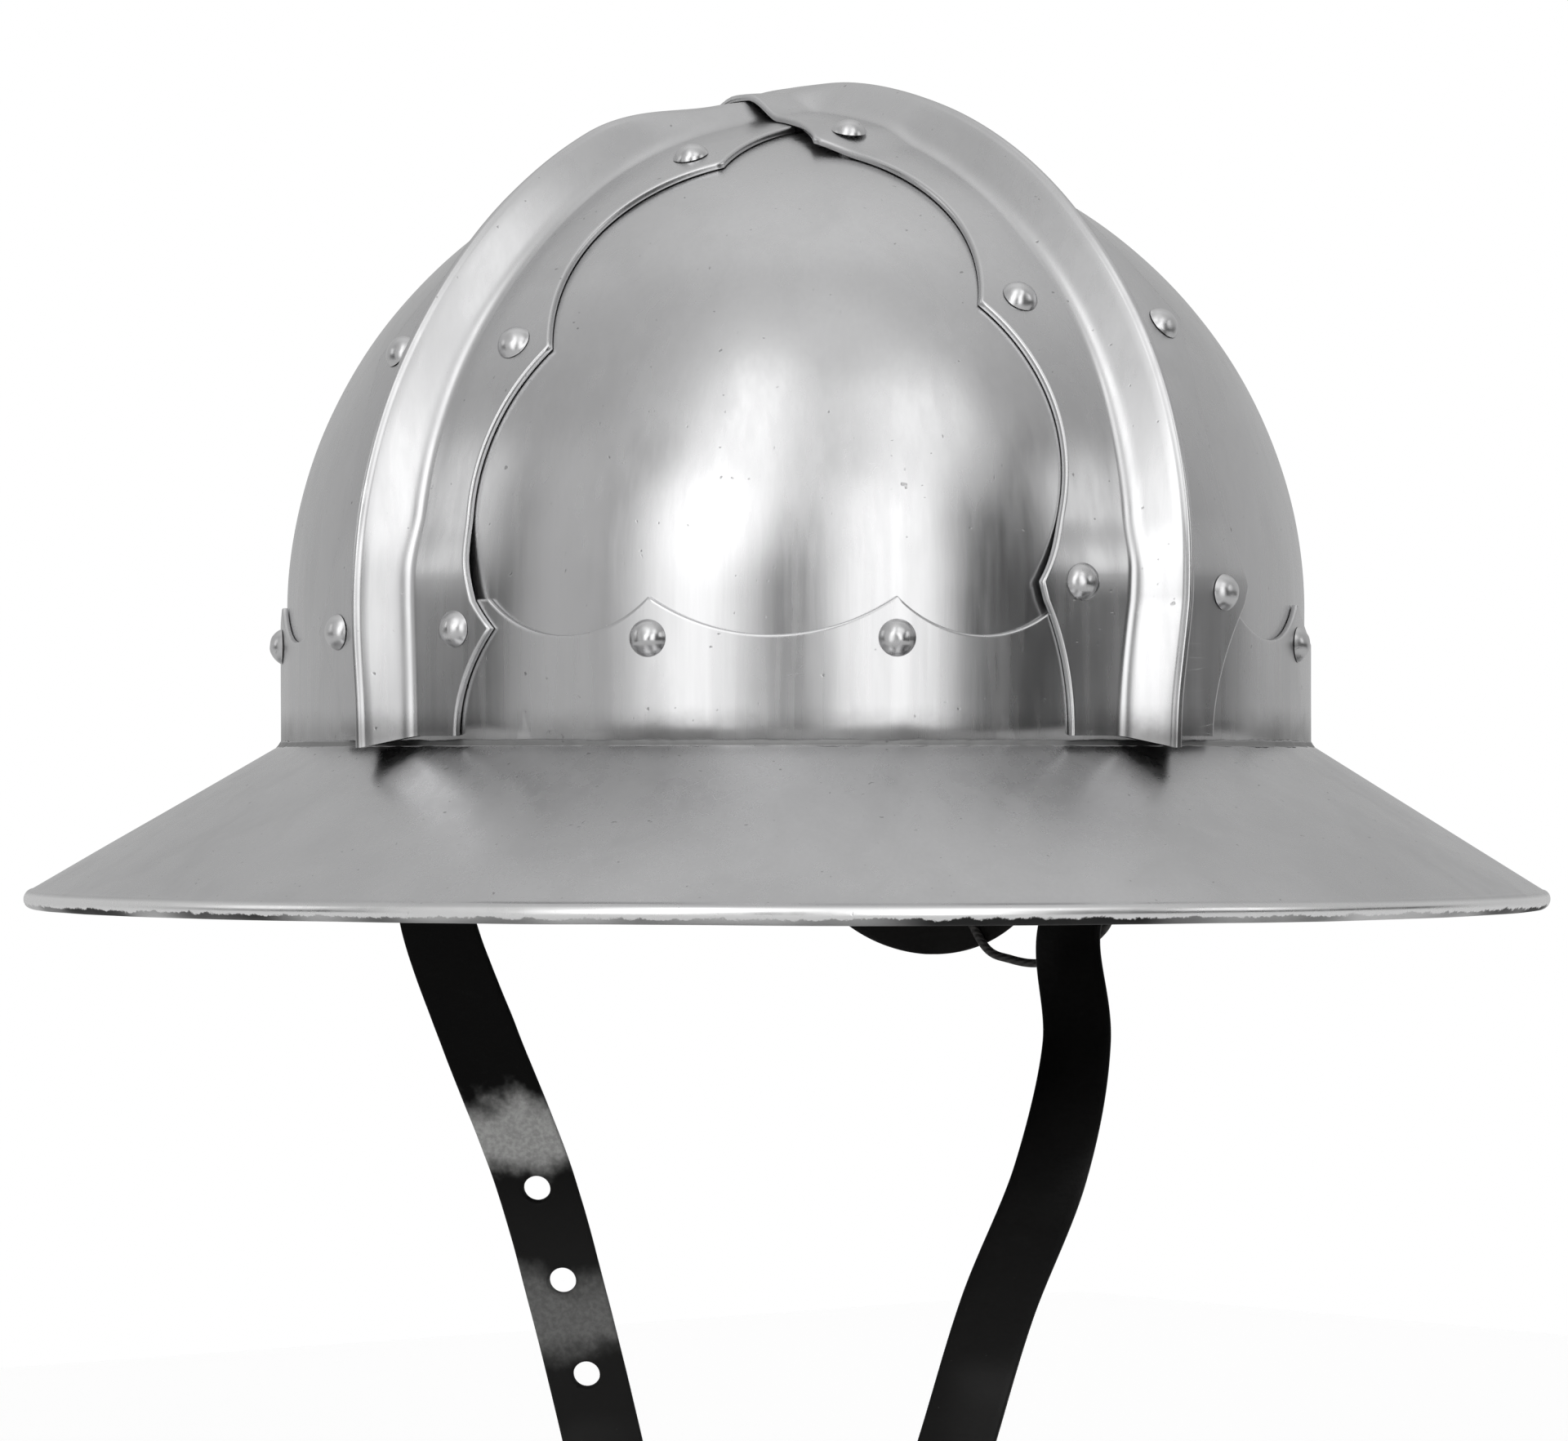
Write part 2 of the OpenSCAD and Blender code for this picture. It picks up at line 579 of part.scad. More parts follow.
// Buckle, hung on the end of the left strap.
bar_r = wire_d / 2;
eye_in = bar_r + 0.1;
eye_out = eye_in + strap_t;
fold_gap = 0.15;
fold_skin = 0.03;                           // the fold wraps the strip's end by this much
fold_l = 26;
slot_half = 2.5;
pin_at = 17;                                // the fold's rivet, up from the bar
// at the buckle's bar: z down along the strap, x across it, y off its front
module at_bar() {
    last = len(left_stops) - 2;
    on_strap(left_stops, last, 1) translate([0, front_y * (eye_in + strap_t / 2), 0])
        rotate([0, 0, front_y < 0 ? 0 : 180]) children();
}
front_y = 1;                                // which side of the strap is its back
// the fold that carries the bar, drawn with x up the strap and y off its front
module fold_profile() {
    near = eye_in - fold_skin;
    far = eye_out + fold_skin;
    intersection() {
        difference() {
            circle(r = far);
            circle(r = near);
        }
        translate([-20, -10]) square([20, 20]);
    }
    polygon([[0, -near], [2.2, -near], [9.5, near - fold_gap], [fold_l, near - fold_gap],
             [fold_l, near - fold_gap - strap_t], [9.8, near - fold_gap - strap_t],
             [2.6, -far], [0, -far]]);
    translate([0, near]) square([fold_l + 3, far - near]);
}
module fold() {
    // x up the strap becomes -z, y stays off the front, and the run is across
    multmatrix([[0, 0, 1, -strap_w / 2 - fold_skin], [0, 1, 0, 0], [-1, 0, 0, 0], [0, 0, 0, 1]])
        linear_extrude(strap_w + 2 * fold_skin) fold_profile();
}
module strap_left() color(hide) difference() {
    union() {
        strap_strip(left_stops, 1);
        at_bar() fold();
    }
    pin_bore(1);
    at_bar() {
        translate([-slot_half, -8, -8]) cube([2 * slot_half, 16, 16]);
        translate([0, 0, -pin_at]) rotate([90, 0, 0])
            translate([0, 0, -10]) cylinder(d = 2.8 + 2 * shank_gap, h = 20);
    }
}
module buckle_rivet() color(steel) at_bar() translate([0, 0, -pin_at]) rotate([-90, 0, 0]) {
    back = eye_in - fold_gap - strap_t;
    translate([0, 0, back - 1.2]) cylinder(d = 2.8, h = eye_out - back + 1.8);
    translate([0, 0, back - 1.2]) cylinder(d1 = 4.4, d2 = 5.6, h = 1.1);
    intersection() {
        translate([0, 0, eye_out + 0.1 - 1.9]) sphere(r = 3.7);
        translate([0, 0, eye_out + 0.1]) cylinder(d = 8, h = 4);
    }
}
// the buckle hangs plumb: its turn away from the line of the strap
bar_way = unit(stop_pos(left_stops[len(left_stops) - 1])
               - stop_pos(left_stops[len(left_stops) - 2]));
bar_off = cross(bar_way, strap_across(left_stops[len(left_stops) - 1], bar_way));
buckle_hang = atan2(bar_off.z, -bar_way.z);
frame_half = strap_w / 2 + 2 + bar_r;
frame_l = buckle_l + wire_d;
bend = 3.2;
module bent_corner() {
    rotate_extrude(angle = 90) translate([bend, 0]) circle(r = bar_r);
}
module buckle_frame() color(steel) at_bar() rotate([-buckle_hang, 0, 0]) {
    a = frame_half - bend;
    for (z = [0, frame_l]) translate([-a, 0, z]) rotate([0, 90, 0]) cylinder(r = bar_r, h = 2 * a);
    for (x = [-frame_half, frame_half])
        translate([x, 0, bend]) cylinder(r = bar_r, h = frame_l - 2 * bend);
    for (m = [0, 1]) mirror([m, 0, 0]) {
        translate([a, 0, frame_l - bend]) rotate([90, 0, 0]) bent_corner();
        translate([a, 0, bend]) rotate([-90, 0, 0]) bent_corner();
    }
}
prong_r = 1.3;
module buckle_prong() color(steel) at_bar() rotate([-buckle_hang, 0, 0]) difference() {
    rest = bar_r + prong_r + 0.12;
    reach = frame_l + 2.6;
    union() {
        translate([-2.1, 0, 0]) rotate([0, 90, 0]) cylinder(r = bar_r + 1.9, h = 4.2);
        translate([0, 2.25, 0]) rotate([-atan2(rest - 2.25, frame_l), 0, 0]) {
            cylinder(r = prong_r, h = reach);
            translate([0, 0, reach]) sphere(r = prong_r);
        }
    }
    translate([-5, 0, 0]) rotate([0, 90, 0]) cylinder(r = bar_r + pivot_gap, h = 10);
}
keeper_at = 38;                             // the keeper's middle, up from the bar
keeper_l = 9;
keeper_t = 1.4;
module keeper_loop() color(hide) at_bar() translate([0, 0, -keeper_at - keeper_l / 2]) difference() {
    w = strap_w / 2 + 0.4;
    translate([-w - keeper_t, eye_in - 0.3 - keeper_t, 0])
        cube([2 * (w + keeper_t), strap_t * 2 + 0.9 + 2 * keeper_t, keeper_l]);
    translate([-w, eye_in - 0.3, -1]) cube([2 * w, strap_t * 2 + 0.9, keeper_l + 2]);
}

panel_front_right();
panel_front_left();
panel_back_right();
panel_back_left();
brow_band();
side_band();
front_back_band();
brim();
weld_bead();
front_back_rivets();
side_rivets();
brow_rivets();
liner_band();
liner_tongues();
crown_lace();
lace_loop();
liner_tab();
strap_right();
strap_left();
strap_pin_right();
strap_pin_left();
strap_washer_right();
strap_washer_left();
buckle_frame();
buckle_prong();
buckle_rivet();
keeper_loop();
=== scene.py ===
"""Looks of the kettle hat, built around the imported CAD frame.

Lengths are millimetres unless a name ends in _m; every mesh is scaled to metres when
it is made. Node materials work in metres. Front is -Y, the wearer's left +X, up +Z.
"""

import math
import random

import bpy
import numpy as np
from mathutils import Matrix, Vector, noise


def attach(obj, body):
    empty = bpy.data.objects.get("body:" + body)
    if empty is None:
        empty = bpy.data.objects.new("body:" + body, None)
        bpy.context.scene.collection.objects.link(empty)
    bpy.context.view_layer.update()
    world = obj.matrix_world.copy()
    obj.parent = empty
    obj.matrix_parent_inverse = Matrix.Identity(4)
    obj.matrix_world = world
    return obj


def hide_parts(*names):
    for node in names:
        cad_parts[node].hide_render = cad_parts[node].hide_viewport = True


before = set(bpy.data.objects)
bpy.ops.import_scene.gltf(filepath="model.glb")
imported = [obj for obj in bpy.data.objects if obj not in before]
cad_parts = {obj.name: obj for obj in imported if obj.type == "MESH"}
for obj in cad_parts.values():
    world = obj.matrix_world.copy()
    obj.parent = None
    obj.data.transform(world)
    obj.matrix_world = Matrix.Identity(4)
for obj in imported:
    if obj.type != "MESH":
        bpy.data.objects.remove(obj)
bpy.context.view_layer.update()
MM = 0.001

# camera
IMAGE_W, IMAGE_H = 1920, 1765
CAM_AZIMUTH = math.radians(-40.4)
CAM_DISTANCE, CAM_HEIGHT = 1500.0, -6.0
FOCAL_PX = 7894.9
CENTRE_PX = (972.28, 944.5)


def placed(name, data):
    """A new object of that data, linked to the scene."""
    ob = bpy.data.objects.new(name, data)
    bpy.context.scene.collection.objects.link(ob)
    return ob


def make_camera():
    """The photograph's camera: level, aimed at the hat's axis, framed by its shift."""
    data = bpy.data.cameras.new("camera")
    data.sensor_fit = "HORIZONTAL"
    data.sensor_width = 36.0
    data.lens = FOCAL_PX * data.sensor_width / IMAGE_W
    data.shift_x = (IMAGE_W / 2 - CENTRE_PX[0]) / IMAGE_W
    data.shift_y = (CENTRE_PX[1] - IMAGE_H / 2) / IMAGE_W
    data.clip_start, data.clip_end = 0.05, 30.0
    cam = placed("camera", data)
    place = Vector((CAM_DISTANCE * math.sin(CAM_AZIMUTH),
                    -CAM_DISTANCE * math.cos(CAM_AZIMUTH), CAM_HEIGHT)) * MM
    back = Vector((place.x, place.y, 0)).normalized()
    up = Vector((0, 0, 1))
    turn = Matrix((up.cross(back), up, back)).transposed().to_4x4()
    cam.matrix_world = Matrix.Translation(place) @ turn
    bpy.context.scene.camera = cam


make_camera()

# sizes, as in the CAD part
SKULL_A, SKULL_B, SKULL_C, WALL_H = 115.5, 121.0, 112.0, 31.0
SHEET_T, PANEL_GAP = 1.5, 1.0
BROW_H, BROW_SCALLOP, BROW_FIRST, BROW_SECOND = 31.6, 8.3, 31.0, 57.0
BAND_POINT, BAND_WAIST, BAND_WAIST_UP = 30.8, 22.4, 21.6
BAND_CROWN, BAND_END = 19.5, 20.6
RIB_W, RIB_FLAT, RIB_H, RIB_UP, RIB_END, RIB_CROSS = 9.8, 1.1, 10.0, 9.5, 9.2, 4.8
FRONT_SHIFT, FRONT_FOOT, SIDE_SHIFT, SIDE_FOOT = 3.1, -4.0, -0.5, -2.5
CROSS_SHIFT, STRAP_Y = -1.5, -1.5
SEAT_GAP = 0.25
BRIM_B, BRIM_DROP, BRIM_BACK, EDGE_D = 181.5, 35.5, 4.0, 4.6
HEAD_D, HEAD_H, SHANK_D = 8.2, 2.7, 3.6
STRAP_W, STRAP_T, HOLE_D, HOLE_STEP, HOLE_COUNT = 18.0, 2.2, 6.0, 23.0, 6
STRAP_PIN_Z = 13.0
LINER_T, LINER_H, TONGUES, LACE_D = 1.8, 30.0, 8, 2.2
WIRE_D = 3.4
TAB_W = 46.0
KX = SKULL_A / SKULL_B
BROW_IN = 0.1
BROW_OUT = BROW_IN + SHEET_T
OVER_BROW = BROW_OUT + SEAT_GAP
OVER_FLANGE = 2 * SEAT_GAP + SHEET_T
LINER_OUT = -SHEET_T - 0.35
LINER_IN = LINER_OUT - LINER_T
STRAP_FACE = LINER_IN - 1.2
STRAP_X = SKULL_A + STRAP_FACE - STRAP_T / 2
BAND_FOOT = 1.7
RIB_TOE = 2.6  # how far the rib's ridge comes down past the band's foot
POINTS = {0: (2.0, 36.6, 70.8), 1: (-6.0, 30.8, 65.0)}
RIVET_OFF = 20.5
LEFT_LOW = (0.8, 2.2, 0.0)
BROW_RIVET_Z = 22.6
RIVET_ROOM = 0.12
LAP_RISE = 5.3  # above the brow band, where a cross band comes down to the skull
LAP_TURN = math.degrees(math.asin((BROW_H + LAP_RISE - WALL_H) / SKULL_C))
END_HALF = 19.6  # half width of the brow band's scallops beside the cross bands
END_TURN = math.degrees(math.asin(END_HALF / SKULL_B))
DEGREE_MM, ROW_MM = 2.03, 1.5  # a degree of the dome, and the rows along a band

sin, cos = (lambda d: np.sin(np.radians(d))), (lambda d: np.cos(np.radians(d)))


def mix(a, b, k):
    """From a at 0 to b at 1."""
    return a + (b - a) * k


def ease(k):
    """A smooth step from 0 to 1."""
    q = np.clip(k, 0.0, 1.0)
    return q * q * (3 - 2 * q)


def unit(v):
    """The same direction at length 1."""
    return v / np.linalg.norm(v)


def around(axis):
    """An axis and two directions square to it."""
    n = Vector(axis).normalized()
    side = n.orthogonal().normalized()
    return n, side, n.cross(side)


# meshes
def loose(name, points, faces):
    """A mesh object from millimetre points."""
    me = bpy.data.meshes.new(name)
    me.from_pydata((np.asarray(points, float).reshape(-1, 3) * MM).tolist(), [], faces)
    return placed(name, me)


def smooth(me, sharp):
    """Smooth shading, with edges over that many degrees left sharp."""
    me.polygons.foreach_set("use_smooth", [True] * len(me.polygons))
    if sharp:
        me.set_sharp_from_angle(angle=math.radians(sharp))


def add_mesh(name, form, material, body, nodes=(), sharp=55.0):
    """Makes a piece from a form, rides it and hides the CAD parts it replaces."""
    ob = loose(name, *form)
    ob.data.validate()
    smooth(ob.data, sharp)
    ob.data.update()
    ob.data.materials.append(material)
    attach(ob, body)
    if nodes:
        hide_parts(*nodes)
    return ob


def cut(ob, form):
    """Takes a form out of a piece for good."""
    cutter = loose("cutter", *form)
    mod = ob.modifiers.new("cut", "BOOLEAN")
    mod.operation, mod.solver, mod.object = "DIFFERENCE", "EXACT", cutter
    deps = bpy.context.evaluated_depsgraph_get()
    made = bpy.data.meshes.new_from_object(ob.evaluated_get(deps))
    ob.modifiers.clear()
    old, ob.data = ob.data, made
    bpy.data.meshes.remove(old)
    bpy.data.objects.remove(cutter)
    smooth(made, 50)


def facing_out(points, faces):
    """A closed form: its points, and its faces turned to point outward."""
    p = np.asarray(points, float).reshape(-1, 3)
    total = 0.0
    for f in faces:
        q = p[list(f)]
        for k in range(1, len(f) - 1):
            total += np.dot(q[0], np.cross(q[k], q[k + 1]))
    return p, faces if total > 0 else [f[::-1] for f in faces]


def grid(n, m):
    """Quads of n rows of m points, closed across and round."""
    i, j = np.meshgrid(np.arange(n), np.arange(m), indexing="ij")
    i2, j2 = (i + 1) % n, (j + 1) % m
    return np.stack([i * m + j, i * m + j2, i2 * m + j2, i2 * m + j], -1).reshape(-1, 4)


def closed(rows, ring=False):
    """Rows of points as a closed form: a ring, or a run capped by quads at its ends."""
    rows = np.asarray(rows, float)
    n, m = rows.shape[:2]
    quads = grid(n, m)
    if not ring:
        k = np.arange(m // 2 - 1)
        first = np.stack([k, m - 1 - k, m - 2 - k, k + 1], -1)
        quads = np.concatenate([quads[:-m], first, (n - 1) * m + first[:, ::-1]])
    return facing_out(rows, quads.tolist())


def fanned(rows):
    """Rows of points as a closed form whose ends are fans round their middles."""
    rows = np.asarray(rows, float)
    n, m = rows.shape[:2]
    points = np.concatenate([rows.reshape(-1, 3), rows[0].mean(0)[None], rows[-1].mean(0)[None]])
    faces = grid(n, m)[:-m].tolist()
    for k in range(m):
        faces.append([(k + 1) % m, k, n * m])
        faces.append([(n - 1) * m + k, (n - 1) * m + (k + 1) % m, n * m + 1])
    return facing_out(points, faces)


def joined(forms):
    """Several closed forms as one list of points and faces."""
    points, faces, start = [], [], 0
    for p, f in forms:
        points.append(p)
        faces += [[v + start for v in face] for face in f]
        start += len(p)
    return np.concatenate(points), faces


def field(points, size, seed):
    """Smooth noise at each point, about -1 to 1, with features of that size in mm."""
    off = Vector((seed * 13.7, seed * 7.3, seed * 3.1))
    return np.array([noise.noise(Vector(p) / size + off) for p in points])


# the skull's surface
def skull_pt(way, t, v, o):
    """Point of the skull as in the CAD: t across a band, v along it, o off it."""
    t, v, o = np.broadcast_arrays(np.asarray(t, float), v, o)
    a, b, c = SKULL_A + o, SKULL_B + o, SKULL_C + o
    k = np.sqrt(1 - (t / (a if way == 0 else b)) ** 2)
    run = b if way == 0 else a
    turn = np.clip(v, 0, 180)
    along = -run * k * cos(turn)
    z = np.where(v < 0, WALL_H + v, np.where(v > 180, WALL_H - (v - 180), WALL_H + c * k * sin(turn)))
    parts = (t, along, z) if way == 0 else (along, t, z)
    return np.stack(parts, -1)


def skull_normal(p):
    """Outward direction of the skull at points near it."""
    p = np.asarray(p, float)
    n = np.stack([p[..., 0] / SKULL_A**2, p[..., 1] / SKULL_B**2,
                  np.maximum(0, p[..., 2] - WALL_H) / SKULL_C**2], -1)
    return n / np.linalg.norm(n, axis=-1, keepdims=True)


def hand_made(points):
    """Moves points off the skull's true form by the small waves of beaten sheet."""
    p = np.asarray(points, float)
    flat = p.reshape(-1, 3)
    n = skull_normal(flat)
    wave = 0.20 * field(flat, 42.0, 1) + 0.07 * field(flat, 17.0, 2)
    return (flat + n * wave[:, None]).reshape(p.shape)


def folded(v):
    """A place along a band, counted from its nearer end."""
    return np.where(v > 90, 180 - v, v)


def band_half(way, v):
    """Half width of a band: widest at its points, waisted between them."""
    f, p, foot = folded(v), POINTS[way], BAND_FOOT - WALL_H
    low = mix(BAND_END, BAND_POINT, ((f - foot) / (p[0] - foot)) ** 2)
    one = mix(BAND_WAIST, BAND_POINT, ((2 * f - p[0] - p[1]) / (p[1] - p[0])) ** 2)
    two = mix(BAND_WAIST_UP, BAND_POINT, ((2 * f - p[1] - p[2]) / (p[2] - p[1])) ** 2)
    top = mix(BAND_CROWN, BAND_POINT, ((90 - f) / (90 - p[2])) ** 2)
    return np.where(f < p[0], low, np.where(f < p[1], one, np.where(f < p[2], two, top)))


def shift_at(way, v):
    """How far a band's middle lies off the skull's: its ends lean to one side."""
    f = folded(v)
    if way == 0:
        return mix(FRONT_FOOT, FRONT_SHIFT, ease((f + WALL_H) / 70))
    return mix(mix(SIDE_FOOT, SIDE_SHIFT, ease((f + WALL_H) / 60)), CROSS_SHIFT, ease((f - 60) / 24))


def climb(h):
    """How far the front band climbs over the side band, h from the crown's middle."""
    return (OVER_FLANGE - SEAT_GAP) * ease((50 - h) / 13) + RIB_CROSS * ease((15 - h) / 13)


def lap(f):
    """How far a band lies off the skull where it comes down over the brow band."""
    return mix(OVER_BROW, SEAT_GAP, ease((f - LAP_TURN) / 7))


def seat(way, v):
    """How far a band's flanges lie off the skull."""
    f = folded(v)
    low = lap(f)
    if way == 1:
        return low
    return np.where(f < 45, low, np.maximum(low, SEAT_GAP + climb(SKULL_B * cos(f))))


def rib(way, v):
    """Height of the rib; its ridge leaves the brow band more slowly than its foot."""
    f = folded(v)
    wall = mix(RIB_END, RIB_H, ease((f + WALL_H) / 26))
    slow = mix(OVER_BROW, SEAT_GAP, ease((f + 6) / 42)) - lap(f)
    dome = mix(wall, RIB_UP, ease((f - 15) / 30)) + slow
    if way == 0:
        return np.where(f < 45, dome, dome - 1.1 * climb(SKULL_B * cos(f)))
    return np.where(f < 45, dome, mix(dome, RIB_CROSS, ease((56 - SKULL_A * cos(f)) / 32)))


def keel(t):
    """Section of the rib: a narrow crowned ridge, straight flanks, a hollow at the foot."""
    q = np.clip((np.abs(t) - RIB_FLAT) / (RIB_W - RIB_FLAT), 0, 1)
    crown = 1 - 0.03 * np.minimum(1, np.abs(t) / RIB_FLAT) ** 2
    soft = 0.03 * np.exp(-(((np.abs(t) - RIB_FLAT) / 0.35) ** 2))
    return crown * np.where(q < 0.6, 1 - 1.25 * q, (1 - q) ** 2 / 0.64) - soft


def band_rows(way):
    """Places along a band, closer together at its points."""
    p, foot = POINTS[way], BAND_FOOT - WALL_H
    stops = sorted({foot, 0.0, *p, 90.0})
    half = []
    for a, b in zip(stops, stops[1:]):
        length = (1.0 if a < 0 else DEGREE_MM) * (b - a)
        n = max(4, int(length / ROW_MM))
        half += [mix(a, b, k / n) for k in range(n)]
    return np.array(half + [90.0] + [180 - x for x in reversed(half)])


def band_form(way):
    """A cross band: pressed sheet with a hollow rib and dressed, rounded edges."""
    v = band_rows(way)
    w, s, r, lean = band_half(way, v), seat(way, v), rib(way, v), shift_at(way, v)
    edge = [(0.0, -0.5), (0.1, -0.18), (0.42, 0.0), (0.8, 0.0)]
    under = [(0.0, 0.2), (0.16, 0.0), (0.42, 0.0), (0.8, 0.0)]
    flange = np.linspace(0, 1, 7)[1:-1]
    half = [0.5, 0.8, 0.95, 1.1, 1.25, 1.45, 1.8] + [
        mix(RIB_FLAT, RIB_W, q) for q in (.2, .33, .46, .56, .62, .68, .74, .8, .86, .93, 1)]
    rib_t = [-t for t in reversed(half)] + [0.0] + half
    rows = []
    for k in range(len(v)):
        left = [-w[k] + e for e, _ in edge] + [mix(-w[k] + 0.8, -RIB_W, q) for q in flange]
        ts = np.array(left + rib_t + [-x for x in reversed(left)])
        drop, rise, ti = np.zeros(len(ts)), np.zeros(len(ts)), ts.copy()
        for j, ((_, fall), (inset, lift)) in enumerate(zip(edge, under)):
            drop[j] = drop[-1 - j] = fall
            rise[j] = rise[-1 - j] = lift
            ti[j], ti[-1 - j] = -w[k] + inset, w[k] - inset
        toe = RIB_TOE * ease(1 - (WALL_H + folded(v[k]) - BAND_FOOT) / 9) * (-1 if v[k] < 90 else 1)
        top = skull_pt(way, ts + lean[k], v[k] + toe * keel(ts), s[k] + SHEET_T + drop + r[k] * keel(ts))
        low = skull_pt(way, ti + lean[k], v[k] + toe * keel(ti), s[k] + rise + r[k] * keel(ti))
        rows.append(np.concatenate([top, low[::-1]]))
    return closed(hand_made(rows))


def rivet_form(place, top, bottom, seed):
    """A rivet with a hammered round head, a straight shank and a spread tail."""
    rnd = random.Random(seed)
    p = hand_made(np.array([place]))[0]
    n, side, other = around(skull_normal(place))
    base, tail = top + RIVET_ROOM * 0.4, bottom - RIVET_ROOM
    cap = ((HEAD_D / 2) ** 2 + HEAD_H**2) / (2 * HEAD_H)
    prof = [(0.0, tail - 1.25), (1.6, tail - 1.3), (2.3, tail - 1.1), (2.9, tail - 0.5),
            (3.05, tail - 0.05), (1.8, tail), (1.8, base), (3.9, base), (4.08, base + 0.08)]
    full, steps = math.asin((HEAD_D / 2) / cap), 12
    for k in range(steps):
        g = full * (1 - k / steps) * 0.985
        prof.append((cap * math.sin(g), base + HEAD_H - cap + cap * math.cos(g)))
    prof.append((0.0, base + HEAD_H))
    m = 36
    lean = (rnd.uniform(-0.05, 0.05), rnd.uniform(-0.05, 0.05))
    points, faces, rings = [], [], []
    for r, z in prof:
        count = m if r else 1
        rings.append(range(len(points), len(points) + count))
        for j in range(count):
            g = 2 * math.pi * j / m
            x, y = r * math.cos(g), r * math.sin(g)
            zz = z
            if z > base + 0.1:
                zz += lean[0] * x + lean[1] * y
                zz += 0.13 * noise.noise(Vector((x / 2.1, y / 2.1, seed * 3.3)))
            points.append(p + np.array(side * x + other * y + n * zz))
    for a, b in zip(rings, rings[1:]):
        for j in range(m):
            k = (j + 1) % m
            face = (a[j % len(a)], a[k % len(a)], b[k % len(b)], b[j % len(b)])
            faces.append(tuple(dict.fromkeys(face)))
    return facing_out(points, faces)


def band_rivets(way, seed):
    """Twelve rivets of a cross band, a pair at each of its points."""
    forms = []
    for far in (0, 1):
        for s in (-1, 1):
            for k in range(3):
                v = POINTS[way][k] - (LEFT_LOW[k] if way == 0 and s > 0 else 0)
                v = 180 - v if far else v
                p = skull_pt(way, shift_at(way, v) + s * RIVET_OFF, v, 0.0)
                low = LINER_IN if v < 0 or v > 180 else -SHEET_T
                top = float(seat(way, np.float64(v))) + SHEET_T
                forms.append(rivet_form(p, top, low, seed + len(forms)))
    return joined(forms)


def brow_rivets(seed):
    """Eight rivets of the brow band, one at each of its points."""
    forms = []
    for m in (1, -1):
        for n in (-1, 1):
            for turn in (BROW_FIRST, BROW_SECOND):
                p = np.array([m * SKULL_A * sin(turn), n * SKULL_B * cos(turn), BROW_RIVET_Z])
                forms.append(rivet_form(p, BROW_OUT, LINER_IN, seed + len(forms)))
    return joined(forms)


# brow band, panels, brim, weld
def brow_top(turn):
    """Upper edge of the brow band at a turn from the front, in degrees."""
    f = np.abs(((turn + 90) % 180) - 90)
    top = np.full_like(f, BROW_H)
    for at, half in (((BROW_FIRST + BROW_SECOND) / 2, SKULL_B * sin((BROW_SECOND - BROW_FIRST) / 2)),
                     (BROW_FIRST - END_TURN, END_HALF), (BROW_SECOND + END_TURN, END_HALF)):
        r = (half**2 + BROW_SCALLOP**2) / (2 * BROW_SCALLOP)
        s = SKULL_B * sin(f - at)
        inside = (np.abs(s) < half) & (np.abs(f - at) < 40)
        cutz = BROW_H - BROW_SCALLOP + r - np.sqrt(np.maximum(0, r * r - s * s))
        top = np.where(inside, np.minimum(top, cutz), top)
    return top


def turns_all(count, extra=()):
    """Even turns round the hat, with some more in each quarter."""
    base = set(np.round(np.linspace(0, 360, count, endpoint=False), 4))
    for e in extra:
        for q in (e, 180 - e, 180 + e, (360 - e) % 360):
            base.add(round(q, 4))
    return np.array(sorted(base))


def oval(radius, turn, z):
    """Point at a radius of the round form, pressed to the skull's oval."""
    return np.stack(np.broadcast_arrays(KX * radius * sin(turn), -radius * cos(turn), z), -1)


def brow_form():
    """The brow band: sheet bent round, with dressed edges and a scalloped top."""
    turn = turns_all(720, (BROW_FIRST, BROW_SECOND, BROW_FIRST - 2 * END_TURN, BROW_SECOND + 2 * END_TURN))
    r0, r1 = SKULL_B + BROW_IN, SKULL_B + BROW_OUT
    rows = []
    for g, h in zip(turn, brow_top(turn)):
        up = [0.25] + [mix(0.25, h - 0.8, q) for q in np.linspace(0, 1, 7)[1:]] + [h - 0.42]
        prof = [(r1 - 0.2, 0.0)] + [(r1, z) for z in up] + [(r1 - 0.12, h - 0.12), (r1 - 0.42, h)]
        prof += [(r0 + 0.2, h), (r0 + 0.05, h - 0.15)] + [(r0, z) for z in up[::-1]] + [(r0 + 0.2, 0.0)]
        rows.append([oval(r, g, z) for r, z in prof])
    return closed(hand_made(rows), ring=True)


def panel_form(sx, sy):
    """A quarter of the skull, raised from sheet, with its butt edges at the gaps."""
    gap = PANEL_GAP / 2
    lows = [x - WALL_H for x in (0, 0.3, 4, 9, 14, 19, 24, 28, WALL_H)]
    ups = list(np.linspace(0, 80, 100)[1:]) + [81.5, 83, 84.5, 86, 87.2, 88.2, 89.0]
    rows = []
    m = 96
    for v in lows + ups:
        row = []
        for o in (0.0, -SHEET_T):
            a, b, c = SKULL_A + o, SKULL_B + o, SKULL_C + o
            e = max(0.0, v)
            q = cos(e)
            z = WALL_H + (v if v < 0 else c * sin(e))
            g0 = math.degrees(math.asin(min(0.99, gap / (a * q))))
            g1 = math.degrees(math.acos(min(0.99, gap / (b * q))))
            g = np.linspace(g0, g1, m)
            pts = np.stack([sx * a * q * sin(g), sy * b * q * cos(g), np.full(m, z)], -1)
            row.append(pts if o == 0.0 else pts[::-1])
        rows.append(np.concatenate(row))
    return closed(hand_made(rows))


BRIM_IN = SKULL_B + BROW_OUT + 0.1


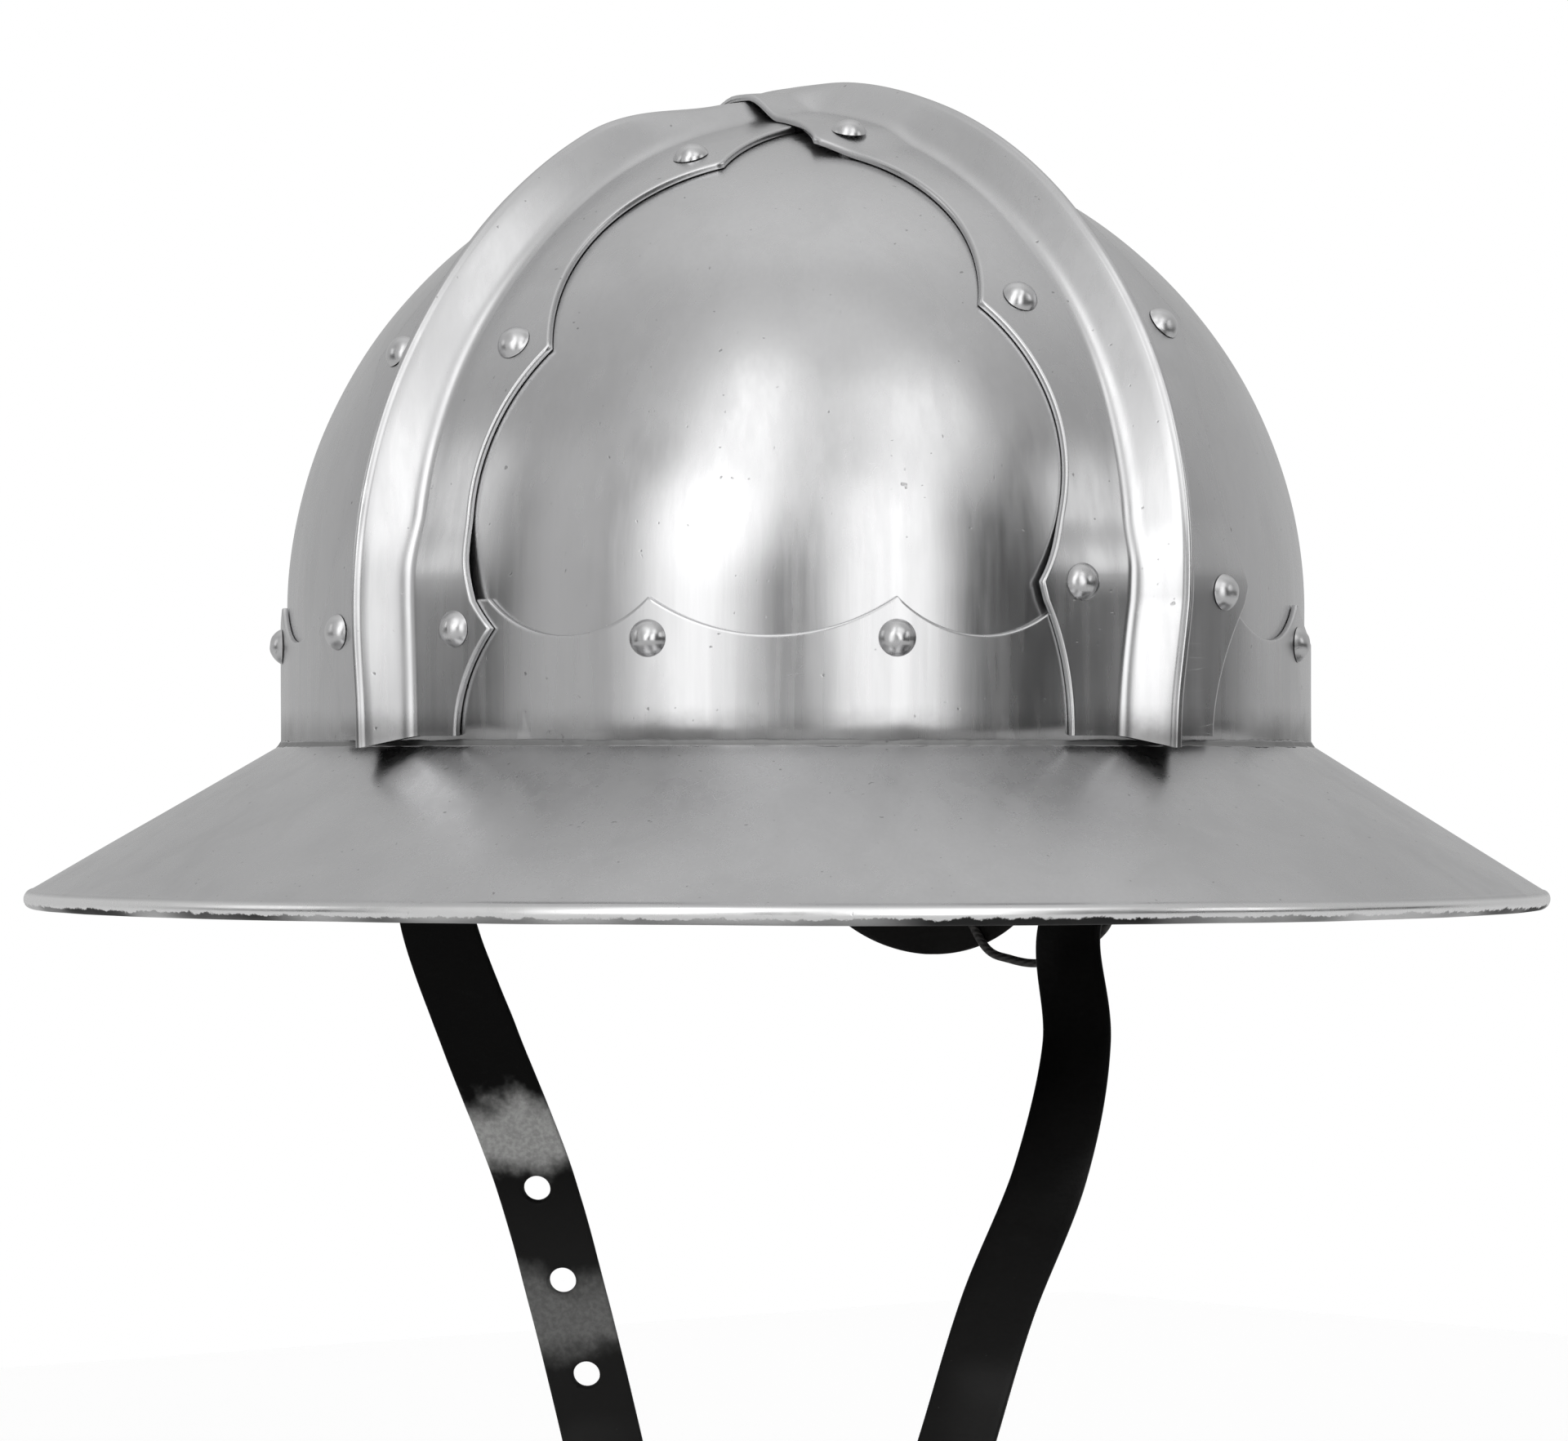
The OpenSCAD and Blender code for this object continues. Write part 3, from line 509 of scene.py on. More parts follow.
def brim_place(r, z, turn):
    """Point of the brim, whose middle moves back as it goes down."""
    p = oval(r, turn, z)
    return p + p[..., 2:] * [0, -BRIM_BACK / BRIM_DROP, 0]


def brim_form():
    """The brim: one cone of sheet, its rim rolled under round a wire."""
    rad = EDGE_D / 2
    lie = 0.92 * rad  # the cone's top face, off the middle of the rolled edge
    inner = np.array([BRIM_IN, 0.0])
    roll = np.array([BRIM_B - rad, -BRIM_DROP])
    way = roll - inner
    slant = math.atan2(-way[1], way[0]) - math.asin(lie / np.linalg.norm(way))
    ax = np.array([math.cos(slant), -math.sin(slant)])
    up = np.array([math.sin(slant), math.cos(slant)])
    length = (roll + lie * up - inner) @ ax

    def at(s, h):
        return tuple(inner + ax * s + up * h)

    prof = [at(s, 0.0) for s in np.linspace(0, length - rad * 0.9, 28)]
    for k in (0.35, 0.7):
        prof.append(at(length - rad * 0.9 * (1 - k), 0.04 * k))
    for g in np.linspace(math.degrees(math.atan2(up[1], up[0])) + 2, -205, 26):
        prof.append((roll[0] + rad * cos(g), roll[1] + rad * sin(g)))
    prof += [at(s, -SHEET_T) for s in np.linspace(length - rad * 1.15, SHEET_T * math.tan(slant) + 0.4, 22)]
    prof.append((BRIM_IN, -SHEET_T / math.cos(slant)))
    prof = np.array(prof)
    rows = np.stack([brim_place(prof[:, 0], prof[:, 1], g) for g in turns_all(640)])
    flat = rows.reshape(-1, 3)
    reach = np.linalg.norm(flat[:, :2] / [KX, 1], axis=1)
    far = np.clip((reach - BRIM_IN - 4) / 40, 0, 1)
    wave = 0.28 * field(flat * [1, 1, 0.2], 75, 9) + 0.08 * field(flat * [1, 1, 0.2], 22, 6)
    flat[:, 2] += far * wave
    return closed(flat.reshape(rows.shape), ring=True)


def weld_form():
    """The dressed weld between brim and brow band: a low uneven bead."""
    turn = turns_all(1100)
    prof = [(0.0, -0.05), (0.7, -0.35), (1.2, -0.62), (1.05, -0.42), (0.75, -0.12),
            (0.5, 0.22), (0.28, 0.6), (0.0, 1.0)]
    base = oval(SKULL_B, turn, 0.0)
    swell = np.clip(0.85 + 0.22 * field(base, 2.6, 7) + 0.25 * field(base, 9.0, 8), 0.3, 1.12)
    rows = [[oval(SKULL_B + BROW_OUT + 0.03 + r * q, g, z * q if z > 0 else z) for r, z in prof]
            for g, q in zip(turn, swell)]
    return closed(rows, ring=True)


# straps, with stops of (x, y, z, turn)
HOLE_STOP, HOLE_FIRST, STOP_LEN = 6, 3.0, 32.6  # the first hole, and the stops' spacing
FLAT_N = 13  # points across a strap's face
KEEPER_W, KEEPER_T, KEEPER_Z = 9.0, 1.4, -38.0
RIGHT_STOPS = np.array([
    [-STRAP_X, STRAP_Y, STRAP_PIN_Z + 10, 0], [-STRAP_X, STRAP_Y, STRAP_PIN_Z, 0],
    [-STRAP_X, STRAP_Y, 1, 0], [-STRAP_X + 2.5, -1, -20, 12], [-STRAP_X + 5.8, 0, -40, 30],
    [-92, 0, -66, 40], [-77, 0, -97, 44], [-66.5, 0, -127, 45], [-57, 0, -158, 46],
    [-48, 0, -190, 46], [-39, 0, -222, 46], [-30, 0, -254, 46]])
LEFT_STOPS = np.array([
    [STRAP_X, STRAP_Y, STRAP_PIN_Z + 10, 0], [STRAP_X, STRAP_Y, STRAP_PIN_Z, 0],
    [STRAP_X, STRAP_Y, 1, 0], [STRAP_X - 7, 4, -22, 8], [STRAP_X - 15.5, 7.5, -45, 14],
    [91.5, 2, -72, 22], [81, 0, -103, 42], [64, 0, -134, 48], [51, 0, -165, 48],
    [38, 0, -196, 48], [25, 0, -227, 48]])


def curve_at(p, x):
    """Point of the smooth run through p at x, counted in stops."""
    i = int(min(len(p) - 2, math.floor(x)))
    q = x - i
    a, b = p[max(0, i - 1)], p[i]
    c, d = p[min(len(p) - 1, i + 1)], p[min(len(p) - 1, i + 2)]
    return (b + 0.5 * q * (c - a) + q * q * (a - 2.5 * b + 2 * c - 0.5 * d)
            + q**3 * (1.5 * b - 0.5 * a - 1.5 * c + 0.5 * d))


def strap_frame(stops, x):
    """Place, direction, side and face of a strap at x."""
    last = len(stops) - 1
    s = curve_at(stops, x)
    d = unit(curve_at(stops, min(last, x + 0.03))[:3] - curve_at(stops, max(0, x - 0.03))[:3])
    w = np.array([sin(s[3]), -cos(s[3]), 0.0])
    w = unit(w - d * (w @ d))
    return s[:3], d, w, np.cross(d, w)


def strap_section(half, thick, cup):
    """Outline of a strap: burnished round edges, faces a little cupped."""
    r = min(0.75, thick / 2)
    pts = []
    for s, turns in ((1, (60, 30, 0, -30, -60)), (-1, (-120, -150, -180, -210, -240))):
        for q in np.linspace(-1, 1, FLAT_N)[::s]:
            pts.append((q * (half - r), s * thick / 2))
        for g in turns:
            pts.append((s * (half - r) + r * cos(g), thick / 2 * sin(g)))
    return np.array([(x, y + cup * ((x / half) ** 2 - 0.4)) for x, y in pts])


def strip(frames, ends, thick, cup=0.0, bumps=lambda rows: rows):
    """A strap along frames of (place, direction, side, face).

    It narrows at its ends, each (share of the width left there, reach).
    """
    far = np.cumsum([0] + [np.linalg.norm(b[0] - a[0]) for a, b in zip(frames, frames[1:])])
    shares = [k + (1 - k) * np.sqrt(np.clip(away / reach, 0, 1))
              for (k, reach), away in zip(ends, (far, far[-1] - far))]
    rows = []
    for (p, _, w, n), half in zip(frames, STRAP_W / 2 * np.minimum(*shares)):
        sec = strap_section(half, thick, cup)
        rows.append(p + sec[:, :1] * w + sec[:, 1:] * n)
    return fanned(bumps(np.array(rows)))


def lathe(prof, place, axis):
    """A turned form along an axis, from (radius, height) pairs that start and end at 0."""
    n, side, other = around(axis)
    turns = [2 * math.pi * j / 32 for j in range(32)]
    return fanned([[np.array(place) + np.array(side * (r * math.cos(g)) + other * (r * math.sin(g)) + n * z)
                    for g in turns] for r, z in [(max(r, 1e-4), z) for r, z in prof]])


def punched(place, axis, radius):
    """Cutter for a punched hole with softened mouths on a strap."""
    depth, half, wide, soft = 6.0, STRAP_T / 2, radius + 0.45, radius + 0.18
    low = [(0, -depth), (wide + 0.6, -depth), (wide + 0.2, -half - 0.25), (soft, -half + 0.15),
           (radius, -half + 0.6)]
    return lathe(low + [(r, -z) for r, z in reversed(low)], place, axis)


def leather_waves(seed, holes=()):
    """Uneven leather: shallow creases across the strap and raised lips at holes."""
    def move(rows):
        flat = rows.reshape(-1, 3)
        wave = 0.22 * field(flat * [1, 1, 2.2], 16, seed) + 0.07 * field(flat, 5, seed + 1)
        mid = rows.mean(1)
        face = np.cross(np.gradient(mid, axis=0), rows[:, 0] - rows[:, FLAT_N - 1])
        face /= np.linalg.norm(face, axis=1, keepdims=True)
        push = np.repeat(face, rows.shape[1], 0) * wave[:, None]
        for place, axis, radius in holes:
            rel = flat - place
            high = rel @ axis
            rho = np.linalg.norm(rel - high[:, None] * axis, axis=1)
            lift = 0.32 * np.exp(-((rho - radius - 0.9) / 0.9) ** 2) * (np.abs(high) < 3)
            push += axis * (np.sign(high) * lift)[:, None]
        return (flat + push).reshape(rows.shape)
    return move


def right_strap():
    """The strap at the wearer's right, and its holes as (place, axis, radius)."""
    holes = []
    for k in range(HOLE_COUNT):
        p, _, _, n = strap_frame(RIGHT_STOPS, HOLE_STOP + (HOLE_FIRST + k * HOLE_STEP) / STOP_LEN)
        holes.append((p, n, HOLE_D / 2))
    frames = [strap_frame(RIGHT_STOPS, x) for x in np.linspace(0, 11, 300)]
    return strip(frames, ((0.35, 7), (0.3, 9)), STRAP_T - 0.05, 0.25, leather_waves(21, holes)), holes


def rod(place, axis, radius, reach):
    """A plain round cutter."""
    return lathe([(0, -reach), (radius, -reach), (radius, reach), (0, reach)], place, axis)


def pin_cutter(side):
    """Cutter for the hole of a strap's own rivet."""
    return rod((side * STRAP_X, STRAP_Y, STRAP_PIN_Z), (1, 0, 0), SHANK_D / 2 + 0.06, 8)


BAR_R = WIRE_D / 2
EYE = BAR_R + 0.1
LEG_L = 26.0
SLOT_HALF, FOLD_RIVET_R, FOLD_RIVET_Z = 2.5, 1.6, -17.0
END_P, END_D, END_W, END_N = strap_frame(LEFT_STOPS, 10.0)
BAR = END_P + END_N * (EYE + STRAP_T / 2)
BX, BY, BZ = -END_W, -END_N, END_D


def at_bar(x, y, z):
    """From the buckle bar's own axes: x along it, y off the strap's face, z down."""
    return BAR + BX * x + BY * y + BZ * z


def left_strap():
    """The strap at the wearer's left, folded round the buckle's bar."""
    frames = [strap_frame(LEFT_STOPS, x) for x in np.linspace(0, 10, 280)]
    mid = EYE + STRAP_T / 2
    for g in np.linspace(0, 180, 19)[1:]:
        n = -(BY * cos(g) + BZ * sin(g))
        frames.append((at_bar(0, mid * cos(g), mid * sin(g)), np.cross(END_W, n), END_W, n))
    lie = mid - STRAP_T - 0.2
    run = [(0.0, -mid), (2.2, -mid), (4.2, -1.9), (6.6, -0.35), (9.0, mid - STRAP_T - 0.17), (12, lie),
           (18, lie), (LEG_L, lie)]
    stops = np.array(run)
    last = run[0]
    for x in np.linspace(0, len(run) - 1, 40)[1:]:
        up, y = curve_at(stops, x)
        d = unit(np.array([up - last[0], y - last[1]]))
        direction = -BZ * d[0] + BY * d[1]
        frames.append((at_bar(0, y, -up), direction, END_W, np.cross(direction, END_W)))
        last = (up, y)
    return strip(frames, ((0.35, 7), (0.6, 4)), STRAP_T - 0.1)


def box_form(center, ux, uy, uz, hx, hy, hz):
    """A box round a centre, from three directions and half lengths."""
    pts = [center + ux * (sx * hx) + uy * (sy * hy) + uz * (sz * hz)
           for sz in (-1, 1) for sy in (-1, 1) for sx in (-1, 1)]
    faces = [[0, 2, 3, 1], [4, 5, 7, 6], [0, 1, 5, 4], [2, 6, 7, 3], [0, 4, 6, 2], [1, 3, 7, 5]]
    return facing_out(pts, faces)


def keeper_form():
    """The keeper: a narrow strip of leather sewn into a loop round the strap."""
    w, t, r = STRAP_W / 2 + 0.4, KEEPER_T, 1.6
    low, high = EYE - 0.3, EYE - 0.3 + STRAP_T * 2 + 0.9
    mx, my0, my1 = w + t / 2 - r, low - t / 2 + r, high + t / 2 - r
    path = []
    for cx, cy, g0 in ((mx, my1, 0), (-mx, my1, 90), (-mx, my0, 180), (mx, my0, 270)):
        for g in np.linspace(g0, g0 + 90, 7):
            path.append((cx + r * cos(g), cy + r * sin(g), g))
    full = []
    for k, (x, y, g) in enumerate(path):
        full.append((x, y, g))
        if k % 7 == 6:
            nx, ny, _ = path[(k + 1) % len(path)]
            for q in np.linspace(0, 1, 8)[1:-1]:
                full.append((mix(x, nx, q), mix(y, ny, q), g))
    inner = [(-1, -0.55), (-0.93, -0.95), (-0.75, -1), (0, -1), (0.75, -1), (0.93, -0.95), (1, -0.55)]
    rows = []
    for x, y, g in full:
        ring = []
        for a, b in inner + [(a, -b) for a, b in reversed(inner)]:
            off = b * t / 2 * 0.98
            ring.append(at_bar(x + off * cos(g), y + off * sin(g), KEEPER_Z + a * KEEPER_W / 2))
        rows.append(ring)
    return closed(rows, ring=True)


# liner
LINER_Z = 8.0
TONGUE_TOP = 113.0
TONGUE_LOW = LINER_Z + LINER_H - 8.6


def liner_form():
    """The leather band inside the wall; its inner face is a little uneven."""
    ka = (SKULL_A + LINER_OUT) / (SKULL_B + LINER_OUT)
    r0, r1, low, high = SKULL_B + LINER_IN, SKULL_B + LINER_OUT, LINER_Z, 31
    up = [low + 0.5, *np.linspace(low + 2, high - 2, 5), high - 0.4]
    prof = [(r1, z) for z in up] + [(r1 - 0.4, high), (r0 + 0.4, high)]
    prof += [(r0, z) for z in up[::-1]] + [(r0 + 0.4, low), (r1 - 0.4, low)]
    rows = np.array([[(ka * r * sin(g), -r * cos(g), z) for r, z in prof] for g in turns_all(360)])
    flat = rows.reshape(-1, 3)
    inner = np.linalg.norm(flat[:, :2] / [ka, 1], axis=1) < r0 + 0.5
    n = skull_normal(flat * [1, 1, 0])
    flat -= n * (inner * (0.08 + 0.12 * field(flat, 14, 31)))[:, None]
    return closed(flat.reshape(rows.shape), ring=True)


def tongue_point(turn, j, k, depth):
    """A tongue's point: j across from -1 to 1, k from the band 0 to the tip 1."""
    half0 = 180 / TONGUES - 1.2
    half = mix(half0, 17, ease(k)) if k < 0.93 else mix(17, 13, (k - 0.93) / 0.07)
    z = mix(TONGUE_LOW, TONGUE_TOP, sin(90 * k))
    q = mix(0.26, 1, max(0.0, float(cos(90 * k))) ** 0.8)
    g = turn + half * j
    e = LINER_IN - 0.3 - LINER_T * depth
    inset = 0.9 * k * depth
    return np.array([(SKULL_A + e) * q * cos(g) - inset * cos(g),
                     (SKULL_B + e) * q * sin(g) - inset * sin(g), z - LINER_T * k * depth])


def tongue_form(index):
    """One tongue: it narrows and curves up to the gathering lace."""
    turn = 180 / TONGUES + index * 360 / TONGUES
    ks = np.linspace(0, 1, 44)
    js = [0, 0.2, 0.4, 0.6, 0.8, 0.94, 0.985, 1]
    js = np.array([-j for j in js[:0:-1]] + js)
    rows = []
    for k in ks:
        out = [tongue_point(turn, j, k, 0.18 if abs(j) == 1 else 0.0) for j in js]
        inn = [tongue_point(turn, j, k, 0.82 if abs(j) == 1 else 1.0) for j in js]
        rows.append(out + inn[::-1])
    rows = np.array(rows)
    flat = rows.reshape(-1, 3)
    bend = np.repeat(ks, rows.shape[1])
    across = np.tile(np.concatenate([js, js[::-1]]), len(ks))
    wave = 0.5 * field(flat, 22, 40 + index) * np.sin(np.pi * np.clip(bend, 0, 1))
    wave += 0.5 * np.clip((bend - 0.7) / 0.3, 0, 1) * np.sin(across * 9 + index)
    flat -= skull_normal(flat) * np.clip(wave, -0.3, 0.9)[:, None]
    return closed(flat.reshape(rows.shape))


def stitches():
    """Waxed thread that sews the tongues to the band, as short raised stitches."""
    forms = []
    count, up = 150, np.array([0, 0, 1.0])
    e = LINER_IN - 0.3 - LINER_T - 0.18
    for g in (360 * (i + 0.5) / count for i in range(count)):
        if abs(((g / (360 / TONGUES)) % 1) - 0.5) > 0.46:
            continue
        p = np.array([(SKULL_A + e) * sin(g), -(SKULL_B + e) * cos(g), 32.0])
        n = skull_normal(p * [1, 1, 0])
        d = np.cross(n, up)
        rows = []
        for q in np.linspace(-1, 1, 7):
            c = p + d * (q * 1.35) - n * (0.28 * math.sqrt(max(0, 1 - q * q)) - 0.1)
            r = 0.32 * math.sqrt(max(0.05, 1 - 0.8 * q * q))
            rows.append([c + r * (n * math.cos(a) + up * math.sin(a))
                         for a in np.linspace(0, 2 * math.pi, 8, endpoint=False)])
        forms.append(fanned(rows))
    return joined(forms)


def tab_form():
    """The wide leather tab that hangs from the band at the left rear, its end rounded."""
    turn, half, round_r, low, top, thick = 30.0, TAB_W / 2, 36.0, 51.6, LINER_Z + 10, 1.7
    foot = np.array([(SKULL_A + LINER_IN - 0.4) * cos(turn), (SKULL_B + LINER_IN - 0.4) * sin(turn), 0])
    out = unit(foot / [SKULL_A**2, SKULL_B**2, 1])
    side = np.array([-out[1], out[0], 0])
    rise = round_r - math.sqrt(round_r**2 - half**2)
    stops = [(mix(top, rise - low, k), half) for k in np.linspace(0, 1, 50)]
    for q in np.maximum(np.linspace(0.94, 0.0, 24)**1.6, 0.004):
        stops.append((rise * q - low, math.sqrt(round_r**2 - (round_r - rise * q)**2)))
    rows = []
    flat = np.linspace(-1, 1, 25)
    for z, w in stops:
        lean = -2.0 * ((top - z) / (top + low))**2
        row = []
        for face, line in ((0, flat), (1, flat[::-1])):
            for j in line:
                edge = 0.55 * max(0, (abs(j) - 0.93) / 0.07)**2
                deep = edge - thick if face else -edge
                ripple = 0.35 * math.sin(j * 2.3 + z * 0.05) * min(1, (top - z) / 25)
                row.append(foot + out * (lean + deep + ripple - 0.3 - 0.006 * (w * j)**2)
                           + side * w * j + np.array([0, 0, z]))
        rows.append(row)
    return closed(rows)


LACE_OUT = SKULL_A + LINER_IN - LACE_D / 2 - 0.5
LACE_POINTS = np.array([
    [LACE_OUT - 1.0, 16.5, LINER_Z + 4], [LACE_OUT - 0.6, 17, -8], [LACE_OUT + 0.4, 14.5, -25],
    [LACE_OUT + 1, 10.5, -39], [LACE_OUT - 0.5, 15, -47], [LACE_OUT - 4.5, 28, -53],
    [LACE_OUT - 8.5, 37, -52.5], [LACE_OUT - 12, 43.5, -48.5], [LACE_OUT - 15.5, 49.5, -32],
    [LACE_OUT - 16, 52, -8], [LACE_OUT - 15, 52, LINER_Z + 4]])


def lace_curve(name, pts, radius, cyclic=False):
    """A round lace as a curve of one spline."""
    cu = bpy.data.curves.new(name, "CURVE")
    cu.dimensions = "3D"
    cu.bevel_depth = radius * MM
    cu.bevel_resolution = 4
    cu.use_fill_caps = True
    sp = cu.splines.new("POLY")
    sp.points.add(len(pts) - 1)
    for q, p in zip(sp.points, pts):
        q.co = (*(p * MM), 1)
    sp.use_cyclic_u = cyclic
    return placed(name, cu)


def crown_lace_points():
    """The lace that gathers the tongues: it dips between their tips all the way round."""
    pts = []
    for g in (360 * i / 240 for i in range(240)):
        dip = 0.35 * cos(g * TONGUES * 2)
        r = 29 + 0.4 * sin(g * 5 + 30)
        pts.append([KX * r * sin(g), -r * cos(g), TONGUE_TOP + LACE_D / 2 + 0.45 + dip])
    return np.array(pts, float)


# materials
class Nodes:
    """Short hand for building the nodes of a material or world."""

    def __init__(self, owner, empty=False):
        owner.use_nodes = True
        self.owner, self.tree = owner, owner.node_tree
        if empty:
            self.tree.nodes.clear()

    def fill(self, node, inputs):
        """Sets a node's inputs, or links them where the value is a socket."""
        for key, value in inputs.items():
            if isinstance(value, bpy.types.NodeSocket):
                self.tree.links.new(value, node.inputs[key])
            else:
                node.inputs[key].default_value = value
        return node

    def new(self, kind, inputs=None, **props):
        """A node with its properties and inputs set."""
        node = self.tree.nodes.new(kind)
        for key, value in props.items():
            setattr(node, key, value)
        return self.fill(node, inputs or {})

    def stretch(self, scale, turn=(0, 0, 0)):
        turn = [math.radians(x) for x in turn]
        inputs = {"Scale": scale, "Rotation": turn, "Vector": self.coord}
        return self.new("ShaderNodeMapping", inputs).outputs["Vector"]

    def noise(self, scale, detail=3.0, vector=None, rough=0.55, warp=0.0):
        inputs = {"Scale": scale, "Detail": detail, "Roughness": rough, "Distortion": warp,
                  "Vector": self.coord if vector is None else vector}
        return self.new("ShaderNodeTexNoise", inputs).outputs["Fac"]

    def cells(self, scale):
        inputs = {"Scale": scale, "Vector": self.coord}
        return self.new("ShaderNodeTexVoronoi", inputs).outputs["Distance"]

    def span(self, value, lo, hi, to_lo=0.0, to_hi=1.0):
        """A smooth step between two values."""
        inputs = {"Value": value, "From Min": lo, "From Max": hi, "To Min": to_lo, "To Max": to_hi}
        return self.new("ShaderNodeMapRange", inputs, interpolation_type="SMOOTHSTEP").outputs["Result"]

    def math(self, op, a, b=0.0):
        return self.new("ShaderNodeMath", {0: a, 1: b}, operation=op).outputs[0]

    def mul(self, a, b):
        return self.math("MULTIPLY", a, b)

    def add(self, a, b):
        return self.math("ADD", a, b)

    def near(self, value, middle, half, soft):
        """1 within half of the middle, falling to 0 over soft."""
        away = self.math("ABSOLUTE", self.math("SUBTRACT", value, middle))
        return self.span(away, half, half + soft, 1.0, 0.0)

    def waver(self, scale, depth_m, rough=0.55):
        """A wander to either side, half the depth each way."""
        return self.mul(self.math("SUBTRACT", self.noise(scale, 4, rough=rough), 0.5), depth_m)

    def axes(self, vector):
        """The three parts of a vector."""
        return self.new("ShaderNodeSeparateXYZ", {0: vector}).outputs

    def blend(self, fac, a, b):
        a, b = ((*x, 1.0) if isinstance(x, tuple) else x for x in (a, b))
        return self.new("ShaderNodeMix", {0: fac, 6: a, 7: b}, data_type="RGBA").outputs[2]

    def bump(self, layers):
        """Bumps laid on each other, from (height, strength, depth in metres)."""
        normal = {}
        for height, strength, depth_m in layers:
            inputs = {"Height": height, "Strength": strength, "Distance": depth_m, **normal}
            normal = {"Normal": self.new("ShaderNodeBump", inputs).outputs["Normal"]}
        return normal

    def wear(self, lo, hi):
        """Edges that stand out."""
        return self.span(self.new("ShaderNodeNewGeometry").outputs["Pointiness"], lo, hi)


def surface(name):
    """The nodes of a new material, with its shader and the object's own coordinates."""
    s = Nodes(bpy.data.materials.new(name))
    s.shader = s.tree.nodes["Principled BSDF"]
    s.coord = s.new("ShaderNodeTexCoord").outputs["Object"]
    return s


def tinted(tone, k, plus=0.0):
    """A tone made lighter or darker."""
    return tuple(x * k + plus for x in tone)


def steel(name, tone, rough, grime=0.5, scratches=0.5, pits=0.5, rim=None, joint_shade=0.0):
    """Bare satin steel: clouded tone, drawn grain, stray scratches, pits and grime."""
    s = surface(name)
    cloud = s.noise(16, 4)
    smear = s.noise(55, 5, s.stretch((1, 1, 0.35)), warp=0.6)
    fine = s.noise(900, 2)
    lines = s.noise(1.0, 3, s.stretch((900, 900, 40)), rough=0.7)
    wide = s.noise(1.0, 2, s.stretch((260, 260, 12)), rough=0.6)
    dots = s.span(s.noise(620, 1), 0.76 - 0.03 * pits, 0.82)
    marks = 0.0
    for turn, seed in (((20, 35, 10), 3.0), ((70, -40, 55), 7.0), ((-35, 80, 120), 11.0)):
        inputs = {0: s.stretch((7, 240, 240), turn), 1: (seed, seed * 2, seed * 3)}
        vec = s.new("ShaderNodeVectorMath", inputs, operation="ADD").outputs[0]
        line = s.near(s.noise(1.0, 1, vec), 0.5, 0.0, 0.008)
        mask = s.span(s.noise(24 + seed, 2), 0.72 - 0.12 * scratches, 0.80)
        marks = s.math("MAXIMUM", marks, s.mul(line, mask))
    dirt = s.mul(s.span(smear, 0.45, 0.75), grime)
    base = s.blend(s.span(cloud, 0.3, 0.7), tinted(tone, 0.93), tinted(tone, 1.05))
    for fac, share, over in ((dirt, 0.35, tinted(tone, 0.72)),
                             (s.span(lines, 0.35, 0.65), 0.10, tinted(tone, 0.8)),
                             (dots, 0.6, tinted(tone, 0.35)), (marks, 0.35, (0.85, 0.85, 0.86)),
                             (s.wear(0.52, 0.60), 0.5, (0.86, 0.86, 0.87))):
        base = s.blend(s.mul(fac, share), base, over)
    # scale is the mask of the painted shade under the brim's rolled edge; it also roughens the steel there
    scale = 0.0
    if joint_shade:
        # painted shade beside the weld, darkest close above the joint with the brim
        away = s.add(s.math("ABSOLUTE", s.axes(s.coord)[2], 0.0), s.waver(130, 0.004, 0.7))
        patch = s.span(s.noise(26, 3), 0.35, 0.65, 0.45, 1.0)
        near = s.mul(s.mul(s.span(away, 0.0005, 0.009, 1.0, 0.0), patch), joint_shade)
        base = s.blend(near, base, (0.08, 0.078, 0.076))
    if rim is not None:
        # the rolled edge: a painted highlight along its top, patches of painted shade on its underside
        z = s.axes(s.coord)[2]
        base = s.blend(s.span(z, rim + 0.0019, rim + 0.0009, 0.0, 0.9), base, (0.93, 0.93, 0.93))
        patch = s.span(s.noise(15, 2), 0.40, 0.60, 0.25, 1.0)
        below = s.span(s.add(z, s.waver(210, 0.0030, 0.75)), rim - 0.0008, rim - 0.0012)
        scale = s.mul(below, patch)
        base = s.blend(scale, base, (0.04, 0.04, 0.04))
    for fac, share in ((s.span(cloud, 0.25, 0.75), 0.05), (scale, 0.35), (dirt, 0.10),
                       (s.span(wide, 0.3, 0.7), 0.05), (marks, 0.12)):
        rough = s.add(rough, s.mul(fac, share))
    bumps = s.bump(((lines, 0.5, 0.000006), (fine, 0.2, 0.000004), (marks, 0.35, 0.00004),
                    (s.math("SUBTRACT", 1.0, dots), 0.4, 0.00006)))
    s.fill(s.shader, {"Base Color": base, "Metallic": 1.0, "Roughness": rough, **bumps})
    return s.owner


